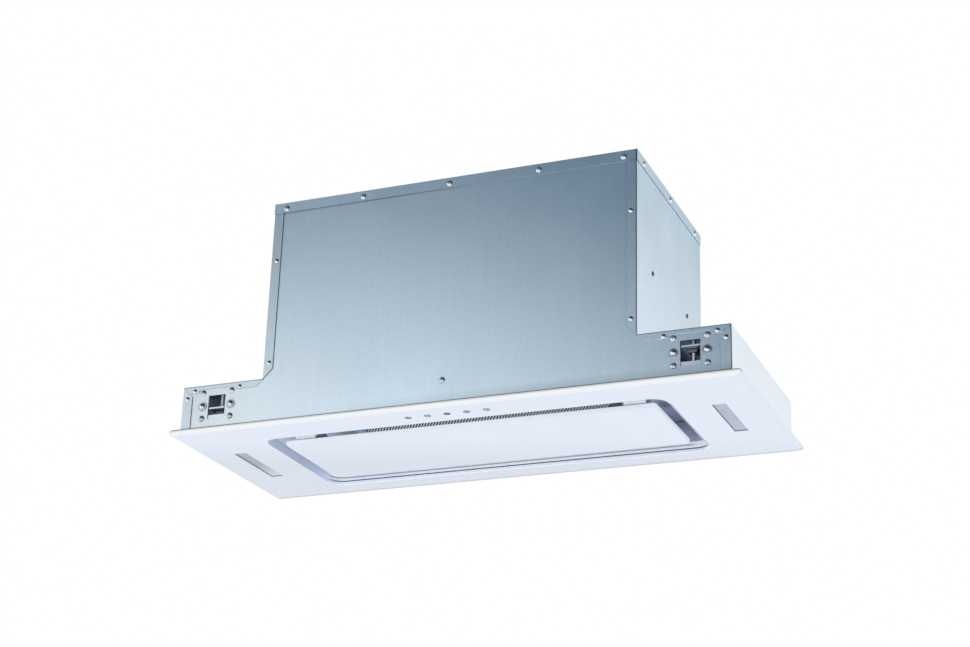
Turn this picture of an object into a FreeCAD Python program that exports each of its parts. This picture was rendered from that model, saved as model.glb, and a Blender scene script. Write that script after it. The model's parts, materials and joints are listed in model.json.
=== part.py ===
import FreeCAD, Part
import math
import os

# Built-in range hood: a white glass plate with a folded sheet-steel casing above it.
# Millimetres. Origin at the middle of the glass plate's underside, +Z up, the front faces -Y.

# General
sheet = 1.0
body_gap = 0.3
running_gap = 0.05

# Glass plate
plate_width = 740.0
plate_depth = 294.0
plate_thickness = 6.0
plate_bevel_width = 5.0
plate_bevel_height = 2.0
plate_corner_radius = 4.0
seal_inset = 2.0
seal_width = 5.0
seal_thickness = 1.5

# Casing, set back from the plate's edge
collar_end_setback = 13.0
collar_front_setback = 9.0
collar_width = plate_width - 2 * collar_end_setback
collar_depth = plate_depth - 2 * collar_front_setback
collar_top = 65.0
shoulder_width = 112.5
rear_step = 10.0
tower_width = collar_width - 2 * shoulder_width
tower_depth = collar_depth - rear_step
case_top = 305.0
glue_flange = 10.0
lid_rim = 14.0
tower_flange = 12.5
shoulder_flange = 9.0
shoulder_flange_low = 5.0
end_flange = 13.0
mitre_gap = 0.4

# Fasteners
pan_head_radius = 3.9
pan_head_height = 2.4
rivet_radius = 3.0
rivet_height = 1.4
shank_radius = 2.0
shank_tail = 3.0
recess_width = 0.9
recess_depth = 1.2
recess_share = 0.55
washer_radius = 5.4
washer_thickness = 1.0
bolt_head_radius = 4.2
bolt_head_height = 2.8
lid_screw_pitch_inner = 118.8
lid_screw_edge = 16.5
lid_screw_drop = 8.0
lid_side_screw_edge = 26.0
flange_rivet_edge = 7.2
flange_rivet_rise = 20.6
flange_rivet_drop = 80.6
shoulder_rivet_drop = 6.4
shoulder_rivet_inner = 32.3
shoulder_rivet_outer = 16.2
end_rivet_edge = 6.3
end_rivet_drop = 15.8
side_hole_radius = 1.6
side_hole_height = 166.8
side_hole_front = -76.6
side_hole_rear = 66.0

# Intake well in the glass plate
opening_radius = 20.0
well_height = 36.0
well_flange = 8.0
well_front_gap = 1.5
well_rear_gap = 11.0
well_lamp_gap = 30.9
brace_width = 30.0
brace_reach = 8.0
brace_rise = 16.0
brace_screw_drop = 6.6

# Suction panel
panel_end_gap = 19.0
panel_front_gap = 26.6
panel_rear_gap = 33.4
panel_thickness = 5.0
panel_bevel = 1.2
panel_radius = 5.0
pan_end_setback = 25.0
pan_front_setback = 26.0
pan_rear_setback = 12.0
pan_height = 10.0
tab_gap = 0.6
tab_width = 27.5
tab_height = 7.0
tab_setback = 6.0

# Panel hinge and catches
hinge_from_filter = 12.0
hinge_height = 18.0
hinge_setback = 19.6
hinge_leaf = 3.0
hinge_leaf_gap = 2.0
hinge_leaf_half = 5.0
hinge_pin_radius = 2.5
hinge_pin_overhang = 2.0
hinge_foot = 10.0
catch_from_filter = 9.2
catch_width = 14.0
catch_depth = 14.0
catch_setback = 10.0
striker_base = 17.4
striker_top = 11.0
striker_height = 11.0
stud_radius = 2.5
stud_length = 7.0
stud_bore_radius = 3.6
catch_clearance = 3.0

# Grease filter
filter_end_margin = 78.0
filter_edge_margin = 17.0
filter_thickness = 9.0
filter_drop = 2.0
filter_side_gap = 1.0
filter_bar = 10.0
filter_front_bar = 24.0
filter_lip = 3.0
filter_lip_sheet = 1.0
filter_tab_x = 120.0
filter_tab_width = 24.0
filter_tab_reach = 7.0
latch_bolt_width = 16.0
latch_bolt_sheet = 2.0
latch_bolt_reach = 7.0
latch_bolt_length = 20.0
latch_stem_width = 10.0
latch_stem_length = 5.0
latch_stem_back = 10.0
latch_grip_width = 32.0
latch_grip_length = 11.0
latch_grip_sheet = 3.0
latch_travel = 8.0

# Lamps
led_end_gap = 14.1
led_y = -4.0
led_width = 17.0
led_length = 103.0
led_recess = 1.2
led_fit = 0.2
led_lens_flange = 3.0
led_lens_flange_sheet = 1.5
led_housing_wall = 1.5
led_housing_margin = 6.0
led_housing_height = 20.0
led_board_height = 12.0
led_board_sheet = 1.6
led_chip_count = 8
led_chip_size = 5.0
led_chip_height = 1.2

# Touch control
touch_gap = 0.5
touch_board_width = 150.0
touch_board_depth = 18.0
touch_board_sheet = 1.6
touch_pad_count = 5
touch_pad_pitch = 25.6
touch_pad_radius = 5.0
touch_pad_height = 3.0
touch_cover_wall = 1.5
touch_cover_height = 14.0

# Clamps in the collar
clamp_edge = 48.7
clamp_window_width = 24.0
clamp_window_bottom = 25.5
clamp_window_top = 51.0
clamp_sheet_cut_bottom = 20.0
clamp_bracket_sheet = 1.5
clamp_bracket_half_width = 26.0
clamp_bracket_bottom = 17.0
clamp_bracket_top = 60.0
clamp_bracket_depth = 30.0
clamp_screw_offset = 20.2
clamp_screw_low = 21.4
clamp_screw_high = 55.2
clamp_bolt_offset = 20.0
clamp_bolt_height = 37.4
clamp_axis_depth = 14.0
spindle_radius = 3.0
spindle_head_radius = 5.5
spindle_head_height = 3.5
spindle_foot_height = 4.0
nut_width = 11.0
nut_height = 4.0
nut_neck = 7.4
nut_cap_sheet = 2.0
nut_rest_height = 29.0
front_right_nut_raise = 10.0
claw_width = 22.0
claw_sheet = 2.0
claw_travel = 14.0
claw_back_margin = 3.0
claw_front_gap = 0.6

# Blower
blower_drop = 119.0
scroll_margin = 19.0
scroll_growth = 34.0
scroll_wall = 2.0
scroll_inner_width = 130.0
scroll_steps = 6
inlet_lip = 15.0
outlet_flange_margin = 14.0
impeller_gap = 8.0
impeller_width = 112.0
blade_depth = 13.0
blade_sheet = 1.0
blade_count = 30
impeller_ring_sheet = 2.0
impeller_disc_sheet = 2.0
hub_radius = 14.0
hub_length = 30.0
shaft_radius = 4.0
motor_radius = 42.0
motor_length = 60.0
motor_cap_radius = 30.0
motor_cap_length = 8.0
shaft_in_motor = 45.0
bracket_sheet = 2.0
bracket_ring_margin = 4.0
bracket_ring_bore = 16.0
bracket_arm_width = 14.0
mount_gap = 1.0
mount_radius = 6.0
mount_length = 6.0
mount_count = 3

# Outlet with its flaps
spigot_rear_margin = 90.0
spigot_ahead = 58.0
spigot_radius = 74.5
spigot_wall = 2.5
spigot_height = 40.0
spigot_flange_margin = 9.5
spigot_flange_sheet = 3.0
spigot_screw_inset = 8.0
ledge_height = 11.0
ledge_sheet = 2.0
ledge_width = 4.0
flap_sheet = 1.5
flap_edge_gap = 1.0
flap_axis_gap = 3.5
flap_pin_radius = 1.5
flap_pin_seat = 1.2
flap_knuckle_radius = 3.0
flap_knuckle_length = 12.0
flap_knuckle_near = 18.0
flap_knuckle_far = 46.0

# Control box and mains inlet
control_y = 0.0
control_top_gap = 18.0
control_length = 110.0
control_height = 96.0
control_depth = 40.0
control_wall = 2.0
control_cover_lip = 4.0
terminal_length = 40.0
terminal_height = 16.0
terminal_depth = 18.0
terminal_way_count = 4
capacitor_radius = 14.0
capacitor_length = 60.0
gland_end_margin = 54.5
gland_rear_margin = 33.0
gland_bore_radius = 4.5
gland_neck_radius = 8.0
gland_flange_radius = 12.0
gland_flange_height = 6.0
gland_dome_radius = 9.5
gland_dome_height = 10.0
gland_neck_below = 12.0
gland_nut_height = 5.0

# Places that follow from the sizes above
origin = FreeCAD.Vector(0, 0, 0)
along_x = FreeCAD.Vector(1, 0, 0)
along_y = FreeCAD.Vector(0, 1, 0)
along_z = FreeCAD.Vector(0, 0, 1)
front_face = -collar_depth / 2
collar_half = collar_width / 2
tower_half = tower_width / 2
tower_rear = front_face + tower_depth
case_bottom = plate_thickness
lid_under = case_top - sheet
shoulder_under = collar_top - sheet
lid_rim_bottom = case_top - lid_rim
well_ceiling = plate_thickness + well_height
well_top = well_ceiling + sheet
brace_screw_height = well_top - brace_screw_drop
glue_end = front_face + sheet + glue_flange
touch_y = glue_end + touch_gap + touch_cover_wall + touch_board_depth / 2
touch_rear = touch_y + touch_board_depth / 2 + touch_cover_wall
led_x = collar_half - sheet - glue_flange - led_end_gap - led_housing_margin - led_width / 2
opening_half = led_x - led_width / 2 - led_housing_margin - well_lamp_gap - well_flange
opening_width = 2 * opening_half
opening_front = touch_rear + well_front_gap + well_flange
opening_rear = -glue_end - well_rear_gap - well_flange
opening_depth = opening_rear - opening_front
opening_shift = (opening_front + opening_rear) / 2
panel_width = opening_width - 2 * panel_end_gap
panel_front = opening_front + panel_front_gap
panel_rear = opening_rear - panel_rear_gap
panel_depth = panel_rear - panel_front
panel_shift = (panel_front + panel_rear) / 2
pan_width = panel_width - 2 * pan_end_setback
filter_width = opening_width - 2 * filter_end_margin
filter_front = opening_front + filter_edge_margin
filter_rear = opening_rear - filter_edge_margin
filter_bottom = well_ceiling - filter_drop
hinge_x = filter_width / 2 + hinge_from_filter
hinge_y = panel_rear - hinge_setback
catch_x = filter_width / 2 + catch_from_filter
catch_y = panel_front + catch_setback
tab_inner = catch_x + striker_base / 2 + tab_gap
clamp_x = collar_half - clamp_edge
clamp_axis_y = front_face + clamp_axis_depth
spigot_y = tower_rear - spigot_rear_margin
blower_y = spigot_y - spigot_ahead
blower_z = lid_under - blower_drop
scroll_end_radius = tower_depth / 2 - scroll_margin
scroll_start_radius = scroll_end_radius - scroll_growth
impeller_radius = scroll_start_radius - impeller_gap
inlet_radius = impeller_radius - inlet_lip
bracket_ring_radius = motor_radius + bracket_ring_margin
mount_circle = inlet_radius + mount_radius + mount_gap
control_bottom = lid_under - control_top_gap - control_height
gland_x = gland_end_margin - tower_half
gland_y = tower_rear - gland_rear_margin
spigot_inner = spigot_radius - spigot_wall
spigot_flange = 2 * (spigot_radius + spigot_flange_margin)
ledge_top = case_top + ledge_height + ledge_sheet
flap_axis_z = ledge_top + body_gap + flap_knuckle_radius
scroll_half = scroll_inner_width / 2 + scroll_wall


def block(x0, x1, y0, y1, z0, z1):
    """A box between two corners, given in any order."""
    low = FreeCAD.Vector(min(x0, x1), min(y0, y1), min(z0, z1))
    return Part.makeBox(abs(x1 - x0), abs(y1 - y0), abs(z1 - z0), low)


def rod(radius, start, direction, length):
    return Part.makeCylinder(radius, length, FreeCAD.Vector(*start), direction)


def joined(pieces):
    first = pieces[0]
    if len(pieces) == 1:
        return first
    return first.multiFuse(pieces[1:]).removeSplitter()


def cut(shape, tools):
    return shape.cut(Part.makeCompound(tools))


def rounded_wire(width, depth, radius, centre_y, z):
    """A rectangle with round corners at height z, centred on x = 0."""
    x1 = width / 2
    y0 = centre_y - depth / 2
    y1 = centre_y + depth / 2
    diagonal = radius * (1 - math.sqrt(0.5))
    corners = []
    for sx, y, sy in ((1, y0, 1), (1, y1, -1), (-1, y1, -1), (-1, y0, 1)):
        on_side = FreeCAD.Vector(sx * x1, y + sy * radius, z)
        on_end = FreeCAD.Vector(sx * (x1 - radius), y, z)
        middle = FreeCAD.Vector(sx * (x1 - diagonal), y + sy * diagonal, z)
        corners.append((on_side, middle, on_end))
    order = (corners[0][::-1], corners[1], corners[2][::-1], corners[3])
    edges = []
    for number, corner in enumerate(order):
        following = order[(number + 1) % len(order)]
        edges.append(Part.Arc(*corner).toShape())
        edges.append(Part.LineSegment(corner[2], following[0]).toShape())
    return Part.Wire(edges)


def rounded_slab(width, depth, radius, centre_y, z0, z1):
    face = Part.Face(rounded_wire(width, depth, radius, centre_y, z0))
    return face.extrude(FreeCAD.Vector(0, 0, z1 - z0))


def bevelled_slab(width, depth, radius, centre_y, z0, thickness, bevel_width, bevel_height):
    """A glass plate whose lower edge is ground away all round."""
    bottom = rounded_wire(width - 2 * bevel_width, depth - 2 * bevel_width, radius, centre_y, z0)
    middle = rounded_wire(width, depth, radius, centre_y, z0 + bevel_height)
    lower = Part.makeLoft([bottom, middle], True, True)
    upper = rounded_slab(width, depth, radius, centre_y, z0 + bevel_height, z0 + thickness)
    return joined([lower, upper])


def profile_in_xz(points, y0, y1):
    """A straight-sided outline in the XZ plane, from depth y0 to depth y1."""
    corners = [FreeCAD.Vector(x, y0, z) for x, z in points]
    face = Part.Face(Part.makePolygon(corners + corners[:1]))
    return face.extrude(FreeCAD.Vector(0, y1 - y0, 0))


def to_side(shape, side):
    """A shape drawn on the right, taken to the left where side is -1."""
    return shape if side > 0 else shape.mirror(origin, along_x)


def to_end(shape, end):
    """A shape drawn at the front, taken to the rear where end is 1."""
    return shape if end < 0 else shape.mirror(origin, along_y)


def dome(radius, height):
    """A round cap with its flat side down at z = 0."""
    ball = (radius * radius + height * height) / (2 * height)
    latitude = math.degrees(math.asin((ball - height) / ball))
    cap = Part.makeSphere(ball, origin, along_z, latitude, 90, 360)
    cap.translate(FreeCAD.Vector(0, 0, height - ball))
    return cap


def cross_recess(radius, top):
    half = recess_width / 2
    reach = radius * recess_share
    floor = top - recess_depth
    return [block(-reach, reach, -half, half, floor, top), block(-half, half, -reach, reach, floor, top)]


def pan_screw(grip):
    head = dome(pan_head_radius, pan_head_height)
    shank = rod(shank_radius, (0, 0, -grip - shank_tail), along_z, grip + shank_tail)
    return cut(joined([head, shank]), cross_recess(pan_head_radius, pan_head_height))


def rivet(grip):
    head = dome(rivet_radius, rivet_height)
    shank = rod(shank_radius, (0, 0, -grip - shank_tail), along_z, grip + shank_tail)
    return joined([head, shank])


def washer_bolt(grip):
    washer = rod(washer_radius, (0, 0, 0), along_z, washer_thickness)
    head = dome(bolt_head_radius, bolt_head_height)
    head.translate(FreeCAD.Vector(0, 0, washer_thickness))
    shank = rod(shank_radius, (0, 0, -grip - shank_tail), along_z, grip + shank_tail)
    return joined([washer, head, shank])


def placed(template, place, direction):
    turn = FreeCAD.Rotation(along_z, direction)
    copy = template.copy()
    copy.Placement = FreeCAD.Placement(FreeCAD.Vector(*place), turn)
    return copy


def holes(places, direction, depth):
    """Clearance-free shank holes, from each place into the sheets behind it."""
    back = FreeCAD.Vector(direction)
    back.multiply(-1)
    return [rod(shank_radius, place, back, depth) for place in places]


# Where the fasteners sit, as points on the outer faces
def lid_front_places():
    z = case_top - lid_screw_drop
    outer = tower_half - lid_screw_edge
    across = (-outer, -lid_screw_pitch_inner, 0, lid_screw_pitch_inner, outer)
    return [(x, front_face - sheet, z) for x in across]


def lid_rear_places():
    return [(x, tower_rear + sheet, z) for x, y, z in lid_front_places()]


def lid_side_places(side):
    z = case_top - lid_screw_drop
    middle = (front_face + tower_rear) / 2
    reach = tower_depth / 2 - lid_side_screw_edge
    return [(side * (tower_half + sheet), y, z) for y in (middle - reach, middle, middle + reach)]


def flange_rivet_points():
    """Rivets of one side sheet's flange, as (x, z) on the right, the tower's first."""
    heights = (collar_top + flange_rivet_rise, case_top - flange_rivet_drop)
    tower = [(tower_half - flange_rivet_edge, z) for z in heights]
    z = collar_top - shoulder_rivet_drop
    collar = [
        (tower_half + shoulder_rivet_inner, z),
        (collar_half - shoulder_rivet_outer, z),
        (collar_half - end_rivet_edge, collar_top - end_rivet_drop),
    ]
    return tower, collar


def rivet_places(side, end):
    tower, collar = flange_rivet_points()
    if end < 0:
        return [(side * x, front_face - sheet, z) for x, z in tower + collar]
    places = [(side * x, tower_rear + sheet, z) for x, z in tower]
    return places + [(side * x, -front_face + sheet, z) for x, z in collar]


def clamp_screw_places(side, end):
    return [
        (side * (clamp_x + across), end * -front_face, z)
        for across in (-clamp_screw_offset, clamp_screw_offset)
        for z in (clamp_screw_low, clamp_screw_high)
    ]


def clamp_bolt_places(side, end):
    return [
        (side * (clamp_x + across), end * -front_face, clamp_bolt_height)
        for across in (-clamp_bolt_offset, clamp_bolt_offset)
    ]


def brace_place(end):
    return (0, end * -front_face, brace_screw_height)


def outward(end):
    return FreeCAD.Vector(0, end, 0)


def wall_holes(end):
    """Every shank hole through the front (end -1) or rear (end 1) wall."""
    lid = lid_front_places() if end < 0 else lid_rear_places()
    places = list(lid)
    places.append(brace_place(end))
    for side in (-1, 1):
        places += rivet_places(side, end)
        places += clamp_screw_places(side, end)
        places += clamp_bolt_places(side, end)
    return holes(places, outward(end), 3 * sheet + clamp_bracket_sheet)


def window_cut(side, end):
    half = clamp_window_width / 2
    x0 = clamp_x - half
    x1 = clamp_x + half
    inner = front_face + 2 * sheet
    opening = block(x0, x1, front_face - sheet, inner, clamp_sheet_cut_bottom, clamp_window_top)
    return to_end(to_side(opening, side), end)


# Glass and casing
def glass_frame():
    plate = bevelled_slab(plate_width, plate_depth, plate_corner_radius, 0, 0,
                          plate_thickness, plate_bevel_width, plate_bevel_height)
    tools = [rounded_slab(opening_width, opening_depth, opening_radius, opening_shift, 0, plate_thickness)]
    for side in (-1, 1):
        tools.append(led_window(side, 0, plate_thickness, 0))
    return cut(plate, tools)


def rim_seal():
    """Foam strip on the plate's rim, which the cabinet's cut-out edge presses on."""
    width = plate_width - 2 * seal_inset
    depth = plate_depth - 2 * seal_inset
    z1 = plate_thickness + seal_thickness
    outer = rounded_slab(width, depth, plate_corner_radius, 0, plate_thickness, z1)
    inner = block(-width / 2 + seal_width, width / 2 - seal_width,
                  -depth / 2 + seal_width, depth / 2 - seal_width, plate_thickness, z1)
    return outer.cut(inner)


def tee_outline():
    x_collar = collar_half - sheet
    x_tower = tower_half - sheet
    return [
        (-x_collar, case_bottom), (x_collar, case_bottom), (x_collar, shoulder_under),
        (x_tower, shoulder_under), (x_tower, lid_under), (-x_tower, lid_under),
        (-x_tower, shoulder_under), (-x_collar, shoulder_under),
    ]


def glue_strip(end):
    """The wall's bottom edge, turned in and glued on the glass."""
    x = collar_half - sheet
    inner = front_face + sheet
    return to_end(block(-x, x, inner - sheet, inner + glue_flange, case_bottom, case_bottom + sheet), end)


def front_panel():
    wall = profile_in_xz(tee_outline(), front_face, front_face + sheet)
    panel = joined([wall, glue_strip(-1)])
    return cut(panel, wall_holes(-1) + [window_cut(side, -1) for side in (-1, 1)])


def rear_panel():
    """The rear wall, joggled forward above the collar."""
    x_collar = collar_half - sheet
    x_tower = tower_half - sheet
    rear_face = -front_face
    low = block(-x_collar, x_collar, rear_face - sheet, rear_face, case_bottom, shoulder_under)
    step = block(-x_tower, x_tower, tower_rear - sheet, rear_face, shoulder_under, collar_top)
    high = block(-x_tower, x_tower, tower_rear - sheet, tower_rear, shoulder_under, lid_under)
    panel = joined([low, step, high, glue_strip(1)])
    return cut(panel, wall_holes(1) + [window_cut(side, 1) for side in (-1, 1)])


def tower_flange_outline():
    x0 = tower_half - tower_flange
    top = lid_rim_bottom - mitre_gap
    return [
        (tower_half, collar_top + mitre_gap), (tower_half, top), (x0, top),
        (x0, collar_top + mitre_gap + tower_flange),
    ]


def shoulder_flange_outline():
    z0 = collar_top - shoulder_flange
    z1 = collar_top - shoulder_flange_low
    notch_in = clamp_x - clamp_bracket_half_width
    notch_out = clamp_x + clamp_bracket_half_width
    return [
        (tower_half, collar_top), (tower_half + shoulder_flange, z0), (notch_in, z0), (notch_in, z1),
        (notch_out, z1), (notch_out, z0), (collar_half - shoulder_flange - mitre_gap, z0),
        (collar_half - mitre_gap, collar_top),
    ]


def end_flange_outline():
    x0 = collar_half - end_flange
    return [
        (collar_half, collar_top), (collar_half, case_bottom), (x0, case_bottom),
        (x0, collar_top - end_flange),
    ]


def side_sheet(side):
    """Tower wall, shoulder and end wall, folded from one sheet and lapped over both panels."""
    rear_face = -front_face
    pieces = [
        block(tower_half - sheet, tower_half, front_face, tower_rear, shoulder_under, lid_under),
        block(tower_half - sheet, collar_half, front_face, rear_face, shoulder_under, collar_top),
        block(collar_half - sheet, collar_half, front_face, rear_face, case_bottom, collar_top),
        block(collar_half - sheet - glue_flange, collar_half, front_face + sheet + glue_flange,
              rear_face - sheet - glue_flange, case_bottom, case_bottom + sheet),
        profile_in_xz(tower_flange_outline(), front_face - sheet, front_face),
        profile_in_xz(tower_flange_outline(), tower_rear, tower_rear + sheet),
    ]
    for outline in (shoulder_flange_outline(), end_flange_outline()):
        pieces.append(profile_in_xz(outline, front_face - sheet, front_face))
        pieces.append(profile_in_xz(outline, rear_face, rear_face + sheet))
    tools = [
        rod(side_hole_radius, (tower_half - 2 * sheet, y, side_hole_height), along_x, 4 * sheet)
        for y in (side_hole_front, side_hole_rear)
    ]
    tools += [spindle_bore(end) for end in (-1, 1)]
    shape = to_side(cut(joined(pieces), tools), side)
    fixings = holes(lid_side_places(side), FreeCAD.Vector(side, 0, 0), 3 * sheet)
    for end in (-1, 1):
        fixings += holes(rivet_places(side, end), outward(end), 3 * sheet)
    return cut(shape, fixings)


def top_cover():
    """The lid's plate, and the band welded under its edge, which laps the walls outside."""
    x = tower_half + sheet
    y0 = front_face - sheet
    y1 = tower_rear + sheet
    band_tools = [block(-tower_half, tower_half, front_face, tower_rear, lid_rim_bottom, lid_under)]
    band_tools += holes(lid_front_places(), outward(-1), 2 * sheet)
    band_tools += holes(lid_rear_places(), outward(1), 2 * sheet)
    for side in (-1, 1):
        band_tools += holes(lid_side_places(side), FreeCAD.Vector(side, 0, 0), 2 * sheet)
    plate_tools = [rod(spigot_inner, (0, spigot_y, lid_under), along_z, sheet)]
    plate_tools.append(rod(gland_neck_radius, (gland_x, gland_y, lid_under), along_z, sheet))
    plate_tools += holes(spigot_screw_places(), along_z, spigot_flange_sheet + 2 * sheet)
    band = cut(block(-x, x, y0, y1, lid_rim_bottom, lid_under), band_tools)
    plate = cut(block(-x, x, y0, y1, lid_under, case_top), plate_tools)
    return Part.makeCompound([plate, band])


# Intake well and its braces
def well_slab(z0, z1):
    """The well's outside, one sheet larger all round than the opening."""
    return rounded_slab(opening_width + 2 * sheet, opening_depth + 2 * sheet, opening_radius + sheet,
                        opening_shift, z0, z1)


def intake_well():
    """Polished steel walls above the opening, with a flange glued on the glass."""
    flange_top = plate_thickness + sheet
    flange = rounded_slab(opening_width + 2 * well_flange, opening_depth + 2 * well_flange,
                          opening_radius + well_flange, opening_shift, plate_thickness, flange_top)
    walls = joined([flange, well_slab(plate_thickness, well_ceiling)])
    hollow = rounded_slab(opening_width, opening_depth, opening_radius, opening_shift,
                          plate_thickness, well_ceiling)
    return walls.cut(hollow)


def well_ceiling_plate():
    """Sheet across the top of the well, with the filter's hole in it."""
    half = filter_width / 2 + filter_side_gap
    filter_hole = block(-half, half, filter_front - filter_side_gap, filter_rear + filter_side_gap,
                        well_ceiling, well_top)
    return well_slab(well_ceiling, well_top).cut(filter_hole)


def well_braces():
    """Angle brackets from the front and rear walls to the well's ceiling."""
    half = brace_width / 2
    braces = []
    for end in (-1, 1):
        well_edge = opening_front if end < 0 else opening_rear
        wall = end * (-front_face - sheet)
        inner = well_edge - end * brace_reach
        leaf = block(-half, half, wall, inner, well_top, well_top + sheet)
        low = brace_screw_height - brace_rise / 2
        plate = block(-half, half, wall, wall - end * sheet, low, well_top + sheet)
        brace = joined([leaf, plate])
        braces.append(cut(brace, holes([brace_place(end)], outward(end), 3 * sheet)))
    return Part.makeCompound(braces)


# Suction panel
def suction_panel_glass():
    return bevelled_slab(panel_width, panel_depth, panel_radius, panel_shift, 0,
                         panel_thickness, panel_bevel, panel_bevel)


def hinge_lug(side):
    x0 = hinge_x + hinge_leaf_gap
    x1 = x0 + hinge_leaf
    y0 = hinge_y - hinge_leaf_half
    y1 = hinge_y + hinge_leaf_half
    leaf = block(x0, x1, y0, y1, panel_thickness, hinge_height)
    nose = rod(hinge_leaf_half, (x0, hinge_y, hinge_height), along_x, hinge_leaf)
    bore = rod(hinge_pin_radius + running_gap, (x0, hinge_y, hinge_height), along_x, hinge_leaf)
    return to_side(joined([leaf, nose]).cut(bore), side)


def suction_panel_pan():
    """Folded steel pan glued on the panel's back, with the hinge lugs and front tabs."""
    half = pan_width / 2
    y0 = panel_front + pan_front_setback
    y1 = panel_rear - pan_rear_setback
    z0 = panel_thickness
    z1 = panel_thickness + pan_height
    tray = block(-half, half, y0, y1, z0, z1)
    tray = tray.cut(block(-half + sheet, half - sheet, y0 + sheet, y1 - sheet, z0 + sheet, z1))
    notch_in = hinge_x - hinge_leaf - 2 * hinge_leaf_gap
    notch_out = hinge_x + hinge_leaf + 3 * hinge_leaf_gap
    pieces = []
    notches = []
    for side in (-1, 1):
        notches.append(to_side(block(notch_in, notch_out, y1 - sheet, y1, z0 + sheet, z1), side))
        pieces.append(hinge_lug(side))
        tab_y = panel_front + tab_setback
        tab_end = tab_inner + tab_width
        foot = block(tab_inner, tab_end, tab_y, y0 + sheet, z0, z0 + sheet)
        lip = block(tab_inner, tab_end, tab_y, tab_y + sheet, z0, z0 + tab_height)
        pieces += [to_side(foot, side), to_side(lip, side)]
    return joined([cut(tray, notches)] + pieces)


def hinge_brackets():
    """Plates that hang from the well's ceiling and carry the panel's hinge pins."""
    brackets = []
    for side in (-1, 1):
        x0 = hinge_x - hinge_leaf
        y0 = hinge_y - hinge_leaf_half
        y1 = hinge_y + hinge_leaf_half
        leaf = block(x0, hinge_x, y0, y1, hinge_height, well_ceiling)
        nose = rod(hinge_leaf_half, (x0, hinge_y, hinge_height), along_x, hinge_leaf)
        foot = block(x0, hinge_x + hinge_foot, y0, y1, well_ceiling - sheet, well_ceiling)
        bore = rod(hinge_pin_radius, (x0, hinge_y, hinge_height), along_x, hinge_leaf)
        brackets.append(to_side(joined([leaf, nose, foot]).cut(bore), side))
    return Part.makeCompound(brackets)


def hinge_pins():
    start = hinge_x - hinge_leaf - hinge_pin_overhang
    length = 2 * hinge_leaf + hinge_leaf_gap + 2 * hinge_pin_overhang
    pin = rod(hinge_pin_radius, (start, hinge_y, hinge_height), along_x, length)
    return Part.makeCompound([to_side(pin, side) for side in (-1, 1)])


def panel_strikers():
    """Black tapered blocks with a stud, which the catches hold."""
    z0 = panel_thickness
    z1 = z0 + striker_height
    wide = striker_base / 2
    slim = striker_top / 2
    y0 = catch_y - catch_depth / 2
    outline = [(catch_x - wide, z0), (catch_x + wide, z0), (catch_x + slim, z1), (catch_x - slim, z1)]
    body = profile_in_xz(outline, y0, y0 + catch_depth)
    stud = rod(stud_radius, (catch_x, catch_y, z1), along_z, stud_length)
    # The block's outer half is narrowed so that it meets the front tab without cutting into it.
    body = body.cut(block(tab_inner, catch_x + striker_base, y0, y0 + catch_depth, z0, z0 + tab_height))
    striker = joined([body, stud])
    return Part.makeCompound([to_side(striker, side) for side in (-1, 1)])


def panel_catches():
    """Spring catches under the well's ceiling that take the panel's studs."""
    z0 = panel_thickness + striker_height + catch_clearance
    half = catch_width / 2
    y0 = catch_y - catch_depth / 2
    body = block(catch_x - half, catch_x + half, y0, y0 + catch_depth, z0, well_ceiling)
    mouth = rod(stud_bore_radius, (catch_x, catch_y, z0), along_z, stud_length)
    catch = body.cut(mouth)
    return Part.makeCompound([to_side(catch, side) for side in (-1, 1)])


# Grease filter
def filter_frame():
    half = filter_width / 2
    z0 = filter_bottom
    z1 = z0 + filter_thickness
    outer = block(-half, half, filter_front, filter_rear, z0, z1)
    x_in = half - filter_bar
    y_in = filter_front + filter_front_bar
    y_out = filter_rear - filter_bar
    window = block(-x_in, x_in, y_in, y_out, z0, z1)
    groove = mesh_space()
    latch_roof = latch_bolt_bottom() + latch_bolt_sheet + body_gap
    pocket_half = latch_bolt_width / 2 + body_gap
    pocket_end = filter_front - latch_bolt_reach + latch_bolt_length + latch_travel + body_gap
    pocket = block(-pocket_half, pocket_half, filter_front, pocket_end,
                   latch_bolt_bottom() - body_gap, latch_roof)
    stem_half = latch_stem_width / 2 + body_gap
    stem_start = latch_stem_start()
    slot = block(-stem_half, stem_half, stem_start - body_gap,
                 stem_start + latch_stem_length + latch_travel + body_gap, z0, latch_roof)
    frame = cut(outer, [window, groove, pocket, slot])
    tabs = []
    for side in (-1, 1):
        x0 = filter_tab_x - filter_tab_width / 2
        tab = block(x0, x0 + filter_tab_width, filter_rear - sheet, filter_rear + filter_tab_reach,
                    well_top, well_top + sheet)
        tabs.append(to_side(tab, side))
    return joined([frame] + tabs)


def mesh_space():
    x = filter_width / 2 - filter_bar + filter_lip
    y0 = filter_front + filter_front_bar - filter_lip
    y1 = filter_rear - filter_bar + filter_lip
    z0 = filter_bottom + filter_lip_sheet
    z1 = filter_bottom + filter_thickness - filter_lip_sheet
    return block(-x, x, y0, y1, z0, z1)


def latch_bolt_bottom():
    return well_top + body_gap


def latch_stem_start():
    return filter_front - latch_bolt_reach + latch_stem_back


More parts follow.
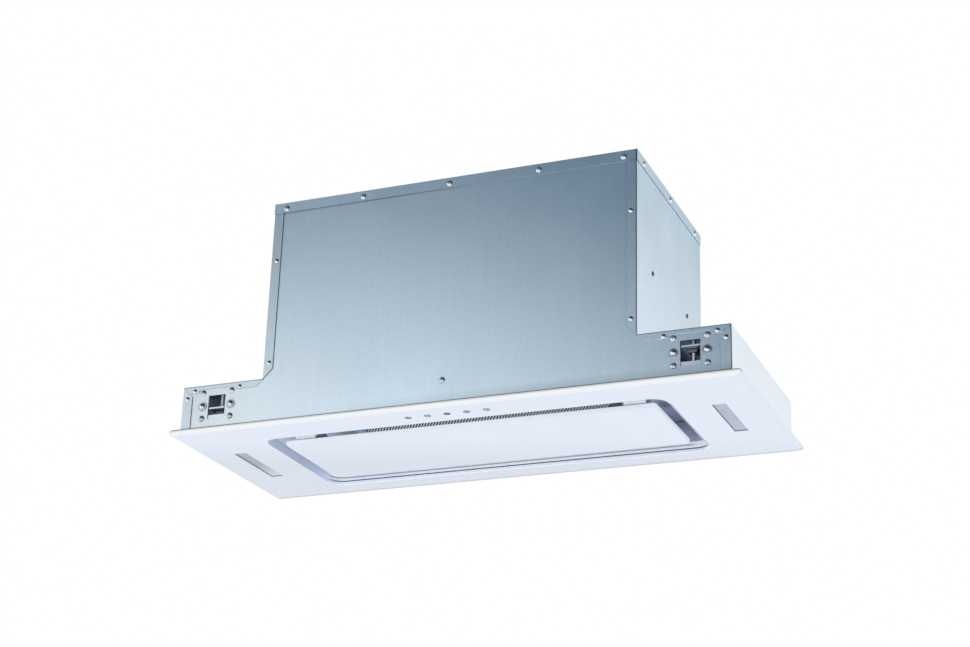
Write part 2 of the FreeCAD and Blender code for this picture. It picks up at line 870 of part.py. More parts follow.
def filter_latch():
    """Sliding catch of the filter, pulled back by its grip below the frame."""
    bolt_y = filter_front - latch_bolt_reach
    z_bolt = latch_bolt_bottom()
    half = latch_bolt_width / 2
    bolt = block(-half, half, bolt_y, bolt_y + latch_bolt_length, z_bolt, z_bolt + latch_bolt_sheet)
    stem_y = latch_stem_start()
    z_grip = filter_bottom - body_gap
    stem_half = latch_stem_width / 2
    stem = block(-stem_half, stem_half, stem_y, stem_y + latch_stem_length, z_grip, z_bolt)
    grip_half = latch_grip_width / 2
    grip_y = stem_y + (latch_stem_length - latch_grip_length) / 2
    grip = block(-grip_half, grip_half, grip_y, grip_y + latch_grip_length, z_grip - latch_grip_sheet, z_grip)
    return joined([bolt, stem, grip])


# Lamps and touch control
def led_window(side, z0, z1, inset):
    half = led_width / 2 - inset
    y0 = led_y - led_length / 2 + inset
    y1 = led_y + led_length / 2 - inset
    return to_side(block(led_x - half, led_x + half, y0, y1, z0, z1), side)


def led_lens(side):
    pane = led_window(side, led_recess, plate_thickness, led_fit)
    flange = led_window(side, plate_thickness, plate_thickness + led_lens_flange_sheet, -led_lens_flange)
    return joined([pane, flange])


def led_housing(side):
    z1 = plate_thickness + led_housing_height
    outer = led_window(side, plate_thickness, z1, -led_housing_margin)
    inner = led_window(side, plate_thickness, z1 - led_housing_wall, -led_housing_margin + led_housing_wall)
    return outer.cut(inner)


def led_board(side):
    z0 = plate_thickness + led_board_height
    inset = -led_housing_margin + led_housing_wall
    board = led_window(side, z0, z0 + led_board_sheet, inset)
    half = led_chip_size / 2
    chips = []
    for number in range(led_chip_count):
        y = led_y + led_length * ((number + 0.5) / led_chip_count - 0.5)
        chip = block(led_x - half, led_x + half, y - half, y + half, z0 - led_chip_height, z0)
        chips.append(to_side(chip, side))
    return joined([board] + chips)


def touch_board():
    """Sensor pads that press on the glass, under their board."""
    z0 = plate_thickness + touch_pad_height
    half = touch_board_width / 2
    board = block(-half, half, touch_y - touch_board_depth / 2, touch_y + touch_board_depth / 2,
                  z0, z0 + touch_board_sheet)
    first = -touch_pad_pitch * (touch_pad_count - 1) / 2
    pads = []
    for number in range(touch_pad_count):
        place = (first + number * touch_pad_pitch, touch_y, plate_thickness)
        pads.append(rod(touch_pad_radius, place, along_z, touch_pad_height))
    return joined([board] + pads)


def touch_cover():
    wall = touch_cover_wall
    half = touch_board_width / 2
    y0 = touch_y - touch_board_depth / 2
    y1 = touch_y + touch_board_depth / 2
    z1 = plate_thickness + touch_cover_height
    outer = block(-half - wall, half + wall, y0 - wall, y1 + wall, plate_thickness, z1)
    return outer.cut(block(-half, half, y0, y1, plate_thickness, z1 - wall))


# Clamps that hold the hood in its cut-out
def spindle_bore(end):
    start = (clamp_x, clamp_axis_y, clamp_bracket_bottom)
    return to_end(rod(spindle_radius + running_gap, start, along_z, collar_top - clamp_bracket_bottom), end)


def clamp_bracket(side, end):
    thick = clamp_bracket_sheet
    y0 = front_face + sheet
    x0 = clamp_x - clamp_bracket_half_width
    x1 = clamp_x + clamp_bracket_half_width
    half = clamp_window_width / 2
    plate = block(x0, x1, y0, y0 + thick, clamp_bracket_bottom, clamp_bracket_top)
    floor = block(x0, x1, y0, y0 + clamp_bracket_depth, clamp_bracket_bottom, clamp_bracket_bottom + thick)
    roof = block(x0, x1, y0, y0 + clamp_bracket_depth, clamp_bracket_top - thick, clamp_bracket_top)
    window = block(clamp_x - half, clamp_x + half, y0, y0 + thick, clamp_window_bottom, clamp_window_top)
    shape = cut(joined([plate, floor, roof]), [window, spindle_bore(-1)])
    shape = to_end(to_side(shape, side), end)
    places = clamp_screw_places(side, end) + clamp_bolt_places(side, end)
    return cut(shape, holes(places, outward(end), 2 * sheet + clamp_bracket_sheet))


def clamp_spindle(side, end):
    """Left-hand screw, turned from above: clockwise draws the claw down."""
    z0 = clamp_bracket_bottom - spindle_foot_height
    shaft = rod(spindle_radius, (clamp_x, clamp_axis_y, z0), along_z, collar_top + body_gap - z0)
    foot = rod(spindle_head_radius, (clamp_x, clamp_axis_y, z0), along_z, spindle_foot_height - body_gap)
    head = dome(spindle_head_radius, spindle_head_height)
    head = cut(head, cross_recess(spindle_head_radius, spindle_head_height))
    head.translate(FreeCAD.Vector(clamp_x, clamp_axis_y, collar_top + body_gap))
    return to_end(to_side(joined([shaft, foot, head]), side), end)


def nut_bottom(side, end):
    """Each clamp stands at its own height: the front right nut is screwed further up."""
    raised = side > 0 and end < 0
    return nut_rest_height + front_right_nut_raise if raised else nut_rest_height


def clamp_nut(side, end):
    """Square nut with a neck and a cap that carry the sliding claw."""
    half = nut_width / 2
    neck = nut_neck / 2
    z0 = nut_bottom(side, end)
    z1 = z0 + nut_height
    z2 = z1 + claw_sheet + 2 * body_gap
    z3 = z2 + nut_cap_sheet
    y = clamp_axis_y
    base = block(clamp_x - half, clamp_x + half, y - half, y + half, z0, z1)
    stem = block(clamp_x - neck, clamp_x + neck, y - neck, y + neck, z1, z2)
    cap = block(clamp_x - half, clamp_x + half, y - half, y + half, z2, z3)
    bore = rod(spindle_radius + running_gap, (clamp_x, y, z0), along_z, z3 - z0)
    return to_end(to_side(joined([base, stem, cap]).cut(bore), side), end)


def clamp_claw(side, end):
    """Slotted plate that slides out through the window over the cabinet's board."""
    half = claw_width / 2
    slot_half = nut_neck / 2 + body_gap
    z0 = nut_bottom(side, end) + nut_height + body_gap
    z1 = z0 + claw_sheet
    y0 = front_face + claw_front_gap
    slot_end = clamp_axis_y + slot_half + claw_travel
    y1 = slot_end + claw_back_margin
    plate = block(clamp_x - half, clamp_x + half, y0, y1, z0, z1)
    slot = block(clamp_x - slot_half, clamp_x + slot_half, clamp_axis_y - slot_half, slot_end, z0, z1)
    return to_end(to_side(cut(plate, [slot]), side), end)


# Blower
def scroll_outline(inset, top):
    """Spiral wall in the YZ plane: from the tongue round the front to the rear, then straight up."""
    start = scroll_start_radius - inset
    finish = scroll_end_radius - inset
    tongue_angle = math.pi / 2
    outlet_angle = 2 * math.pi

    def spiral(share):
        radius = start + (finish - start) * share
        angle = tongue_angle + (outlet_angle - tongue_angle) * share
        return FreeCAD.Vector(0, blower_y + radius * math.cos(angle), blower_z + radius * math.sin(angle))

    edges = []
    for step in range(scroll_steps):
        shares = (step / scroll_steps, (step + 0.5) / scroll_steps, (step + 1) / scroll_steps)
        edges.append(Part.Arc(*[spiral(share) for share in shares]).toShape())
    first = spiral(0)
    last = spiral(1)
    tongue = FreeCAD.Vector(0, first.y + inset, first.z)
    rear_top = FreeCAD.Vector(0, last.y, top)
    front_top = FreeCAD.Vector(0, tongue.y, top)
    corners = [last, rear_top, front_top, tongue]
    if inset > 0:
        corners.append(first)
    for a, b in zip(corners, corners[1:]):
        edges.append(Part.LineSegment(a, b).toShape())
    return Part.Face(Part.Wire(edges))


def scroll_half_shell(side):
    """One half of the moulded scroll, with its inlet and its half of the outlet flange."""
    outer = scroll_outline(0, lid_under)
    outer = outer.extrude(FreeCAD.Vector(scroll_half, 0, 0))
    inner = scroll_outline(scroll_wall, lid_under)
    inner = inner.extrude(FreeCAD.Vector(scroll_inner_width / 2, 0, 0))
    inlet = rod(inlet_radius, (0, blower_y, blower_z), along_x, scroll_half)
    reach = scroll_half + outlet_flange_margin
    flange = block(0, reach, spigot_y - reach, spigot_y + reach, lid_under - 2 * sheet, lid_under)
    shell = cut(joined([outer, flange]), [inner, inlet])
    return cut(to_side(shell, side), holes(spigot_screw_places(), along_z, spigot_flange_sheet + 4 * sheet))


def impeller():
    """Double-inlet wheel: hub, middle disc, blades and end rings."""
    half = impeller_width / 2
    middle = (blower_y, blower_z)
    inner = impeller_radius - blade_depth
    disc = rod(impeller_radius, (-impeller_disc_sheet / 2,) + middle, along_x, impeller_disc_sheet)
    hub = rod(hub_radius, (-hub_length / 2,) + middle, along_x, hub_length)
    pieces = [disc, hub]
    for side in (-1, 1):
        x0 = min(side * half, side * (half - impeller_ring_sheet))
        ring = rod(impeller_radius, (x0,) + middle, along_x, impeller_ring_sheet)
        pieces.append(ring.cut(rod(inner, (x0,) + middle, along_x, impeller_ring_sheet)))
    for number in range(blade_count):
        blade = block(-half, half, -blade_sheet / 2, blade_sheet / 2,
                      inner + blade_sheet, impeller_radius - blade_sheet)
        blade.rotate(origin, along_x, 360.0 * number / blade_count)
        blade.translate(FreeCAD.Vector(0, blower_y, blower_z))
        pieces.append(blade)
    bore = rod(shaft_radius, (-half,) + middle, along_x, impeller_width)
    return joined(pieces).cut(bore)


def motor_face():
    """Where the motor's flange lies on its bracket, left of the scroll."""
    return -(scroll_half + mount_length + bracket_sheet)


def motor():
    x1 = motor_face()
    middle = (blower_y, blower_z)
    body = rod(motor_radius, (x1 - motor_length,) + middle, along_x, motor_length)
    cap = rod(motor_cap_radius, (x1 - motor_length - motor_cap_length,) + middle, along_x, motor_cap_length)
    bore = rod(shaft_radius + running_gap, (x1 - shaft_in_motor,) + middle, along_x, shaft_in_motor)
    return joined([body, cap]).cut(bore)


def motor_shaft():
    x0 = motor_face() - shaft_in_motor + body_gap
    return rod(shaft_radius, (x0, blower_y, blower_z), along_x, hub_length / 2 - x0)


def mount_points():
    points = []
    for number in range(mount_count):
        angle = math.pi / 2 + 2 * math.pi * number / mount_count
        points.append((blower_y + mount_circle * math.cos(angle), blower_z + mount_circle * math.sin(angle)))
    return points


def motor_bracket():
    """Ring with one arm for each rubber mount."""
    x0 = motor_face()
    pieces = [rod(bracket_ring_radius, (x0, blower_y, blower_z), along_x, bracket_sheet)]
    for number in range(mount_count):
        half = bracket_arm_width / 2
        arm = block(x0, x0 + bracket_sheet, -half, half, 0, mount_circle)
        arm = joined([arm, rod(half, (x0, 0, mount_circle), along_x, bracket_sheet)])
        arm.rotate(origin, along_x, 360.0 * number / mount_count)
        arm.translate(FreeCAD.Vector(0, blower_y, blower_z))
        pieces.append(arm)
    bore = rod(bracket_ring_bore, (x0, blower_y, blower_z), along_x, bracket_sheet)
    return joined(pieces).cut(bore)


def motor_rubber_mounts():
    x0 = motor_face() + bracket_sheet
    mounts = [rod(mount_radius, (x0, y, z), along_x, mount_length) for y, z in mount_points()]
    return Part.makeCompound(mounts)


# Outlet
def spigot_screw_places():
    reach = spigot_flange / 2 - spigot_screw_inset
    z = case_top + spigot_flange_sheet
    return [(sx * reach, spigot_y + sy * reach, z) for sx in (-1, 1) for sy in (-1, 1)]


def flap_pin_hole():
    reach = spigot_inner + flap_pin_seat
    return rod(flap_pin_radius, (-reach, spigot_y, flap_axis_z), along_x, 2 * reach)


def outlet_spigot():
    middle = (0, spigot_y, case_top)
    half = spigot_flange / 2
    flange = block(-half, half, spigot_y - half, spigot_y + half, case_top, case_top + spigot_flange_sheet)
    tube = rod(spigot_radius, middle, along_z, spigot_height)
    shell = joined([flange, tube]).cut(rod(spigot_inner, middle, along_z, spigot_height))
    ledge_z = ledge_top - ledge_sheet
    ledge = rod(spigot_inner, (0, spigot_y, ledge_z), along_z, ledge_sheet)
    ledge = ledge.cut(rod(spigot_inner - ledge_width, (0, spigot_y, ledge_z), along_z, ledge_sheet))
    shape = joined([shell, ledge])
    return cut(shape, [flap_pin_hole()] + holes(spigot_screw_places(), along_z, spigot_flange_sheet))


def flap(end):
    """Half disc that lies on the ledge and lifts in the air stream."""
    z0 = ledge_top + body_gap
    radius = spigot_inner - flap_edge_gap
    disc = rod(radius, (0, spigot_y, z0), along_z, flap_sheet)
    keep_near = spigot_y + end * flap_axis_gap
    keep_far = spigot_y + end * radius
    leaf = disc.common(block(-radius, radius, keep_near, keep_far, z0, z0 + flap_sheet))
    pieces = [leaf]
    half = flap_knuckle_length / 2
    for number, place in enumerate((flap_knuckle_near, flap_knuckle_far)):
        across = place if (number % 2 == 0) == (end < 0) else -place
        start = (across - half, spigot_y, flap_axis_z)
        knuckle = rod(flap_knuckle_radius, start, along_x, flap_knuckle_length)
        foot = block(across - half, across + half, spigot_y, keep_near, z0, z0 + flap_sheet)
        pieces += [knuckle, foot]
    bore = rod(flap_pin_radius + running_gap, (-radius, spigot_y, flap_axis_z), along_x, 2 * radius)
    return joined(pieces).cut(bore)


# Control box and mains inlet
def control_wall_x():
    return -(tower_half - sheet)


def control_box():
    """Tray on the left wall, open towards the blower."""
    x0 = control_wall_x()
    wall = control_wall
    half = control_length / 2
    z1 = control_bottom + control_height
    outer = block(x0, x0 + control_depth, control_y - half, control_y + half, control_bottom, z1)
    inner = block(x0 + wall, x0 + control_depth, control_y - half + wall, control_y + half - wall,
                  control_bottom + wall, z1 - wall)
    return outer.cut(inner)


def control_cover():
    x0 = control_wall_x() + control_depth
    wall = control_wall
    half = control_length / 2
    z1 = control_bottom + control_height
    plate = block(x0, x0 + wall, control_y - half, control_y + half, control_bottom, z1)
    lip = block(x0 - control_cover_lip, x0, control_y - half + wall, control_y + half - wall,
                control_bottom + wall, z1 - wall)
    inner = block(x0 - control_cover_lip, x0, control_y - half + 2 * wall, control_y + half - 2 * wall,
                  control_bottom + 2 * wall, z1 - 2 * wall)
    return joined([plate, lip.cut(inner)])


def terminal_block():
    x0 = control_wall_x() + control_wall
    z0 = control_bottom + control_wall
    y0 = control_y - control_length / 2 + 2 * control_wall
    body = block(x0, x0 + terminal_depth, y0, y0 + terminal_length, z0, z0 + terminal_height)
    pitch = terminal_length / terminal_way_count
    ways = []
    for number in range(terminal_way_count):
        floor = (x0 + terminal_depth / 2, y0 + (number + 0.5) * pitch, z0 + terminal_height / 2)
        ways.append(rod(pitch / 4, floor, along_z, terminal_height / 2))
    return cut(body, ways)


def motor_capacitor():
    x0 = control_wall_x() + control_wall + capacitor_radius
    y0 = control_y + control_length / 2 - 2 * control_wall - capacitor_radius
    return rod(capacitor_radius, (x0, y0, control_bottom + control_wall), along_z, capacitor_length)


def cable_gland():
    foot = lid_under - gland_neck_below
    neck = rod(gland_neck_radius, (gland_x, gland_y, foot), along_z, gland_neck_below + sheet)
    flange = rod(gland_flange_radius, (gland_x, gland_y, case_top), along_z, gland_flange_height)
    top = case_top + gland_flange_height
    cap = rod(gland_dome_radius, (gland_x, gland_y, top), along_z, gland_dome_height)
    bore = rod(gland_bore_radius, (gland_x, gland_y, foot), along_z, top + gland_dome_height - foot)
    return joined([neck, flange, cap]).cut(bore)


def gland_nut():
    z0 = lid_under - gland_nut_height
    ring = rod(gland_flange_radius, (gland_x, gland_y, z0), along_z, gland_nut_height)
    return ring.cut(rod(gland_neck_radius, (gland_x, gland_y, z0), along_z, gland_nut_height))


# Groups of equal fasteners
def casing_screws():
    """The lid's screws and one screw for each brace."""
    screw = pan_screw(2 * sheet)
    group = [placed(screw, place, outward(-1)) for place in lid_front_places() + [brace_place(-1)]]
    group += [placed(screw, place, outward(1)) for place in lid_rear_places() + [brace_place(1)]]
    for side in (-1, 1):
        group += [placed(screw, place, FreeCAD.Vector(side, 0, 0)) for place in lid_side_places(side)]
    return Part.makeCompound(group)


def casing_rivets():
    template = rivet(2 * sheet)
    group = []
    for end in (-1, 1):
        for side in (-1, 1):
            group += [placed(template, place, outward(end)) for place in rivet_places(side, end)]
    return Part.makeCompound(group)


def clamp_fixing_screws():
    template = pan_screw(sheet + clamp_bracket_sheet)
    group = []
    for end in (-1, 1):
        for side in (-1, 1):
            group += [placed(template, place, outward(end)) for place in clamp_screw_places(side, end)]
    return Part.makeCompound(group)


def clamp_washer_bolts():
    template = washer_bolt(sheet + clamp_bracket_sheet)
    group = []
    for end in (-1, 1):
        for side in (-1, 1):
            group += [placed(template, place, outward(end)) for place in clamp_bolt_places(side, end)]
    return Part.makeCompound(group)


def spigot_screws():
    template = pan_screw(spigot_flange_sheet + 3 * sheet)
    return Part.makeCompound([placed(template, place, along_z) for place in spigot_screw_places()])


def all_nodes():
    nodes = {
        "glass_frame": glass_frame(),
        "rim_seal": rim_seal(),
        "front_panel": front_panel(),
        "rear_panel": rear_panel(),
        "top_cover": top_cover(),
        "intake_well": intake_well(),
        "well_ceiling_plate": well_ceiling_plate(),
        "well_braces": well_braces(),
        "suction_panel_glass": suction_panel_glass(),
        "suction_panel_pan": suction_panel_pan(),
        "panel_hinge_brackets": hinge_brackets(),
        "panel_hinge_pins": hinge_pins(),
        "panel_catches": panel_catches(),
        "panel_strikers": panel_strikers(),
        "filter_frame": filter_frame(),
        "filter_mesh": mesh_space(),
        "filter_latch": filter_latch(),
        "led_housings": Part.makeCompound([led_housing(side) for side in (-1, 1)]),
        "led_boards": Part.makeCompound([led_board(side) for side in (-1, 1)]),
        "touch_board": touch_board(),
        "touch_cover": touch_cover(),
        "scroll_left": scroll_half_shell(-1),
        "scroll_right": scroll_half_shell(1),
        "impeller": impeller(),
        "motor": motor(),
        "motor_shaft": motor_shaft(),
        "motor_bracket": motor_bracket(),
        "motor_rubber_mounts": motor_rubber_mounts(),
        "motor_capacitor": motor_capacitor(),
        "outlet_spigot": outlet_spigot(),
        "flap_front": flap(-1),
        "flap_rear": flap(1),
        "flap_pin": flap_pin_hole(),
        "control_box": control_box(),
        "control_box_cover": control_cover(),
        "terminal_block": terminal_block(),
        "cable_gland": cable_gland(),
        "gland_nut": gland_nut(),
        "casing_screws": casing_screws(),
        "casing_rivets": casing_rivets(),
        "clamp_fixing_screws": clamp_fixing_screws(),
        "clamp_washer_bolts": clamp_washer_bolts(),
        "spigot_screws": spigot_screws(),
    }
    brackets = []
    for side, side_name in ((-1, "left"), (1, "right")):
        nodes[side_name + "_side_sheet"] = side_sheet(side)
        nodes["led_lens_" + side_name] = led_lens(side)
        for end, end_name in ((-1, "front"), (1, "rear")):
            corner = end_name + "_" + side_name
            nodes["clamp_spindle_" + corner] = clamp_spindle(side, end)
            nodes["clamp_nut_" + corner] = clamp_nut(side, end)
            nodes["clamp_claw_" + corner] = clamp_claw(side, end)
            brackets.append(clamp_bracket(side, end))
    nodes["clamp_brackets"] = Part.makeCompound(brackets)
    return nodes


def write_parts():
    os.makedirs("parts", exist_ok=True)
    for name, shape in all_nodes().items():
        shape.exportStep("parts/" + name + ".step")
        solids = [solid.Volume for solid in shape.Solids]
        print(name, "solids", len(solids), "volume", round(sum(solids), 1), "valid", shape.isValid())


write_parts()
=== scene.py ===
import json
import math

import bmesh
import bpy
from mathutils import Matrix, Vector

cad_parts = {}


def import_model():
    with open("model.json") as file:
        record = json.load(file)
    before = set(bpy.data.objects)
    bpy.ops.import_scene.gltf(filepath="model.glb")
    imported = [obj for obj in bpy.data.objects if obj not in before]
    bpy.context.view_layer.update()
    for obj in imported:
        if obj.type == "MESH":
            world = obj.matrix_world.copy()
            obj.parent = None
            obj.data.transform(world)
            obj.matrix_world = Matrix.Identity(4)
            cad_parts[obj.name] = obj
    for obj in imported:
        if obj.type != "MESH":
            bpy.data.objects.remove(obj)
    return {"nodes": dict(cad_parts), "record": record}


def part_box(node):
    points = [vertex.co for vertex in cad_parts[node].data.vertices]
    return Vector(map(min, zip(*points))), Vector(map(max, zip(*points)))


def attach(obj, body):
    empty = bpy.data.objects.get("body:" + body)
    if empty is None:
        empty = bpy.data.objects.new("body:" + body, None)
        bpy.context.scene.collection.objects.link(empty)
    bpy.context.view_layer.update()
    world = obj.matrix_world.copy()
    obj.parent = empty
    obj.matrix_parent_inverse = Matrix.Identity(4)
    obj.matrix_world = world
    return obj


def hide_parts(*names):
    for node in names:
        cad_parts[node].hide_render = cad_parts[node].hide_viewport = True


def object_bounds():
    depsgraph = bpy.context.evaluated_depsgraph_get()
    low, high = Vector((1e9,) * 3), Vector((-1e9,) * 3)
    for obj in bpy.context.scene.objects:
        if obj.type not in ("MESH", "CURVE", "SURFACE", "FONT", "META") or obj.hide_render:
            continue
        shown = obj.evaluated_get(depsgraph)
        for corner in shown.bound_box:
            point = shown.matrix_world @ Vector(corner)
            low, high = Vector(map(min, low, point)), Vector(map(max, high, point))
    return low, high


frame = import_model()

# Looks of the built-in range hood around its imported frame. Metres, +Z up, the front faces -Y.
cad_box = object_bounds()
mm = 0.001
white = (1, 1, 1)
up = Vector((0, 0, 1))
corners = [end + "_" + side for end in ("front", "rear") for side in ("left", "right")]

# Camera
camera_aim = Vector((-0.00246, -0.00544, 0.16015))
camera_distance = 2.46806
camera_azimuth = math.radians(22.917)
camera_elevation = math.radians(21.776)
camera_roll = math.radians(1.810)
camera_lens = 71.6
camera_sensor = 36.0
camera_reach = 100.0

# Studio
floor_drop = 3.0
floor_reach = 9.0
floor_white = 0.8
ambient_strength = 0.98
key_place = (2.2, -2.2, 3.0)
key_aim = (0, 0, 0.1)
key_size = 2.0
key_watts = 45

# Cards that polished faces mirror
front_card_y = -2.5
front_glow = Vector((-1.576, front_card_y, -0.254))
rear_card_y = 2.5
right_card_x = 2.8
ceiling_card_z = 4.6

# Sizes of the part that the looks keep to
plate_half_width = 370 * mm
plate_half_depth = 147 * mm
plate_thickness = 6 * mm
plate_bevel = 5 * mm
collar_half_width = plate_half_width - 13 * mm
collar_top = 65 * mm
front_wall = -plate_half_depth + 9 * mm
tower_half_width = collar_half_width - 112.5 * mm
opening_half_width = 264 * mm
opening_front = -96 * mm
opening_rear = 108 * mm
opening_radius = 20 * mm
well_height = 36 * mm

# Where the painted shade in the casing's laps is weak: along the shoulders and on the front's right half
shoulder_lap = collar_top - 7 * mm
shoulder_lap_core = 7 * mm
shoulder_lap_reach = 12 * mm
front_lap_blur = 60 * mm

# Painted shade lines along the sheet edges on the casing's front
tower_edge = tower_half_width - 1.2 * mm
collar_edge = collar_half_width - 1.1 * mm
shoulder_edge = collar_top - 1 * mm
tower_edge_foot = collar_top + 3 * mm
edge_line = 2 * mm
edge_blur = 0.4 * mm
edge_shade = 0.65

# Shade on the front wall above the glass's rim, which hides the wall up to the seam's foot
seam_foot = 10 * mm
seam_head = 22 * mm
seam_contact = 1.5 * mm
seam_shade_start = -200 * mm
seam_shade_full = 120 * mm

# Painted light on the collar: a pale right end, and a cast toward its left
pale_end_start = collar_half_width - 17 * mm
pale_end_full = collar_half_width - 7 * mm
cast_full = -330 * mm
cast_stop = -80 * mm
cast_top = 2 * collar_top

# Painted shade on the face of the glass, which darkens to the rear left and along its rear rim
far_skew = 0.3
far_start = -15 * mm
far_full = 85 * mm
far_tone = 0.875
rear_rim = plate_half_depth - 11.5 * mm
rear_rim_blur = 2 * mm
rear_rim_tone = 0.78

# Painted shadow line along the straight run of the opening's right side
gutter_line = opening_half_width + 0.5 * mm
gutter_core = 0.7 * mm
gutter_reach = 1.1 * mm
gutter_tone = 0.4
gutter_front = opening_front + opening_radius + 3 * mm
gutter_rear = opening_rear - opening_radius - 3 * mm
gutter_blur = 6 * mm

# Cut edges of the glass, with painted light along the front, painted shade on the right, and a painted
# glow
rim_line = -plate_half_depth + plate_bevel + 0.5 * mm
rim_blur = 0.5 * mm
right_rim = plate_half_width - 4 * mm
right_rim_blur = 1 * mm
inner_edge_glow = 0.28
outer_edge_glow = 0.02

# Touch marks printed on the glass
mark_count = 5
mark_pitch = 25.6 * mm
mark_row = -119.2 * mm
mark_ring_radius = 3.5 * mm
mark_line = 1.7 * mm
mark_ink = 0.05 * mm

# Bright tabs behind the suction panel's front edge
tab_inner = 204.5 * mm
tab_outer = 232.0 * mm
tab_front = -64.2 * mm
tab_foot = 5.3 * mm
tab_rise = 8.0 * mm
tab_lean = 3.9 * mm
tab_sheet = 0.6 * mm
tab_round = 0.15 * mm

# Strikers on the panel
striker_x = 195.2 * mm
striker_base = 17.2 * mm
striker_top = 9.0 * mm
striker_shoulder = 7.4 * mm
striker_crown = 13.0 * mm
striker_taper = 8.0 * mm
striker_narrow = 3.4 * mm
stud_foot_radius = 2.5 * mm
stud_tip_radius = 2.2 * mm
stud_steps = 24

# Lining of the intake opening, with painted light, a painted glow and a painted shadow line on it
lining_gap = 0.1 * mm
lining_sheet = 0.4 * mm
lining_bottom = 0.15 * mm
lining_joint = 4.7 * mm
lining_joint_core = 0.6 * mm
lining_joint_reach = 1.0 * mm
lining_crest = 8.6 * mm
lining_crest_top = 10.4 * mm
lining_crest_blur = 0.5 * mm
lining_top = 13.5 * mm
lining_corner = opening_half_width - opening_radius
lining_corner_blur = 18 * mm
lining_rear_start = opening_rear - opening_radius - 3 * mm
lining_rear_full = opening_rear - 2 * mm
lining_foot_dim = 4 * mm
lining_foot_bright = 5 * mm
lining_side_shine = 0.16
lining_rear_shine = 0.40

# Gaskets of the lamp lenses
lens_flange = 3.0 * mm
gasket_lap = 0.2 * mm
gasket_corner = 1.5 * mm
gasket_width = 0.7 * mm
gasket_bottom = 0.6 * mm
gasket_top = 1.3 * mm

# Lenses: painted shade and light, the left one darker at its front and paler toward its rear
lens_blur = 100 * mm
lens_rear = 40 * mm

# Well: painted glow and painted light on its bright walls, and painted shade on its ceiling
well_right_shine = 0.03
well_left_shine = 3.2 * well_right_shine
well_blur = 200 * mm
well_bright = 8 * mm
well_dim = 40 * mm
ceiling_start = well_height - 8 * mm
# Painted shade on the left of the well's ceiling
left_shade_start = -240 * mm
left_shade_full = -203 * mm
left_shade_blur = 10 * mm
left_shade_depth = 0.85
# Patch of painted shade on the right of the well's ceiling
shade_patch_low = (213 * mm, 22 * mm)
shade_patch_high = (236 * mm, 52 * mm)
shade_patch_blur = (12 * mm, 16 * mm)
shade_patch_depth = 0.75

# Filter mesh
strand_slope = 1.57
strand_pitch = 3.5 * mm
strand_width = 1.4 * mm
strand_height = 0.3 * mm
strand_tilt = math.radians(6.0)
strand_layers = 4
# Strength of the painted glow on the mesh's bright layer
mesh_glow = 0.08

# Pull tab of the filter
pull_low = (-186 * mm, 12 * mm)
pull_high = (-176 * mm, 28 * mm)
pull_corner = 2.5 * mm
pull_bottom = 38.6 * mm
pull_top = 39.9 * mm
pull_sheet = 1.0 * mm
pull_slope = 0.3 * mm

# Rubber rings round the screw holes in the tower's side walls
grommet_places = (-76.6 * mm, 66.0 * mm)
grommet_height = 166.8 * mm
grommet_bore = 1.65 * mm
grommet_radius = 2.9 * mm
grommet_rise = 0.8 * mm
grommet_steps = 24

# Threads of the clamp spindles
thread_pitch = 1.0 * mm
thread_depth = 0.35 * mm
thread_reach = 3.2 * mm


# Shader nodes
def feed(material, socket, value):
    """Sets the socket to a plain value, or links it to an output of another node."""
    if isinstance(value, bpy.types.NodeSocket):
        material.node_tree.links.new(value, socket)
    else:
        socket.default_value = value


def add_node(material, kind, inputs=None, **settings):
    """Adds a shader node."""
    made = material.node_tree.nodes.new("ShaderNode" + kind)
    for key, value in settings.items():
        setattr(made, key, value)
    for key, value in (inputs or {}).items():
        feed(material, made.inputs[key], value)
    return made


def new_material(name):
    material = bpy.data.materials.new(name)
    material.use_nodes = True
    return material


def shader_of(material):
    return material.node_tree.nodes["Principled BSDF"]


def set_shader(material, **inputs):
    """Sets the main shader's sockets, with _ for a space in a socket's name."""
    for key, value in inputs.items():
        feed(material, shader_of(material).inputs[key.replace("_", " ")], value)


def object_place(material, stretch=(1, 1, 1)):
    place = add_node(material, "TexCoord").outputs["Object"]
    return add_node(material, "Mapping", {"Vector": place, "Scale": stretch}).outputs["Vector"]


def axes(material, vector):
    """The outputs X, Y and Z of a vector."""
    return add_node(material, "SeparateXYZ", {"Vector": vector}).outputs


def surface_normal(material):
    return add_node(material, "TexCoord").outputs["Normal"]


def noise(material, place, scale, detail=3.0, rough=0.55):
    """Soft noise from 0 to 1, with about as many spots in a metre as the scale says."""
    inputs = {"Vector": place, "Scale": scale, "Detail": detail, "Roughness": rough}
    return add_node(material, "TexNoise", inputs).outputs["Fac"]


def cells(material, place, scale):
    return add_node(material, "TexVoronoi", {"Vector": place, "Scale": scale}).outputs["Distance"]


def calculate(material, operation, first, second=0):
    return add_node(material, "Math", {0: first, 1: second}, operation=operation).outputs["Value"]


def product(material, first, *others):
    for other in others:
        first = calculate(material, "MULTIPLY", first, other)
    return first


def largest(material, first, *others):
    for other in others:
        first = calculate(material, "MAXIMUM", first, other)
    return first


def remainder(material, share):
    """What the share leaves of 1."""
    return calculate(material, "SUBTRACT", 1, share)


def magnitude(material, value):
    return calculate(material, "ABSOLUTE", value)


def distance(material, value, line):
    return magnitude(material, calculate(material, "SUBTRACT", value, line))


def between(material, factor, low, high, start=0.3, stop=0.7):
    """A number that goes from low to high as the factor goes from start to stop."""
    inputs = {"Value": factor, "From Min": start, "From Max": stop, "To Min": low, "To Max": high}
    return add_node(material, "MapRange", inputs).outputs["Result"]


def within(material, value, low, high, soft):
    """1 where the value lies between low and high, falling to 0 over a soft border."""
    rise = between(material, value, 0, 1, low - soft / 2, low + soft / 2)
    fall = between(material, value, 1, 0, high - soft / 2, high + soft / 2)
    return product(material, rise, fall)


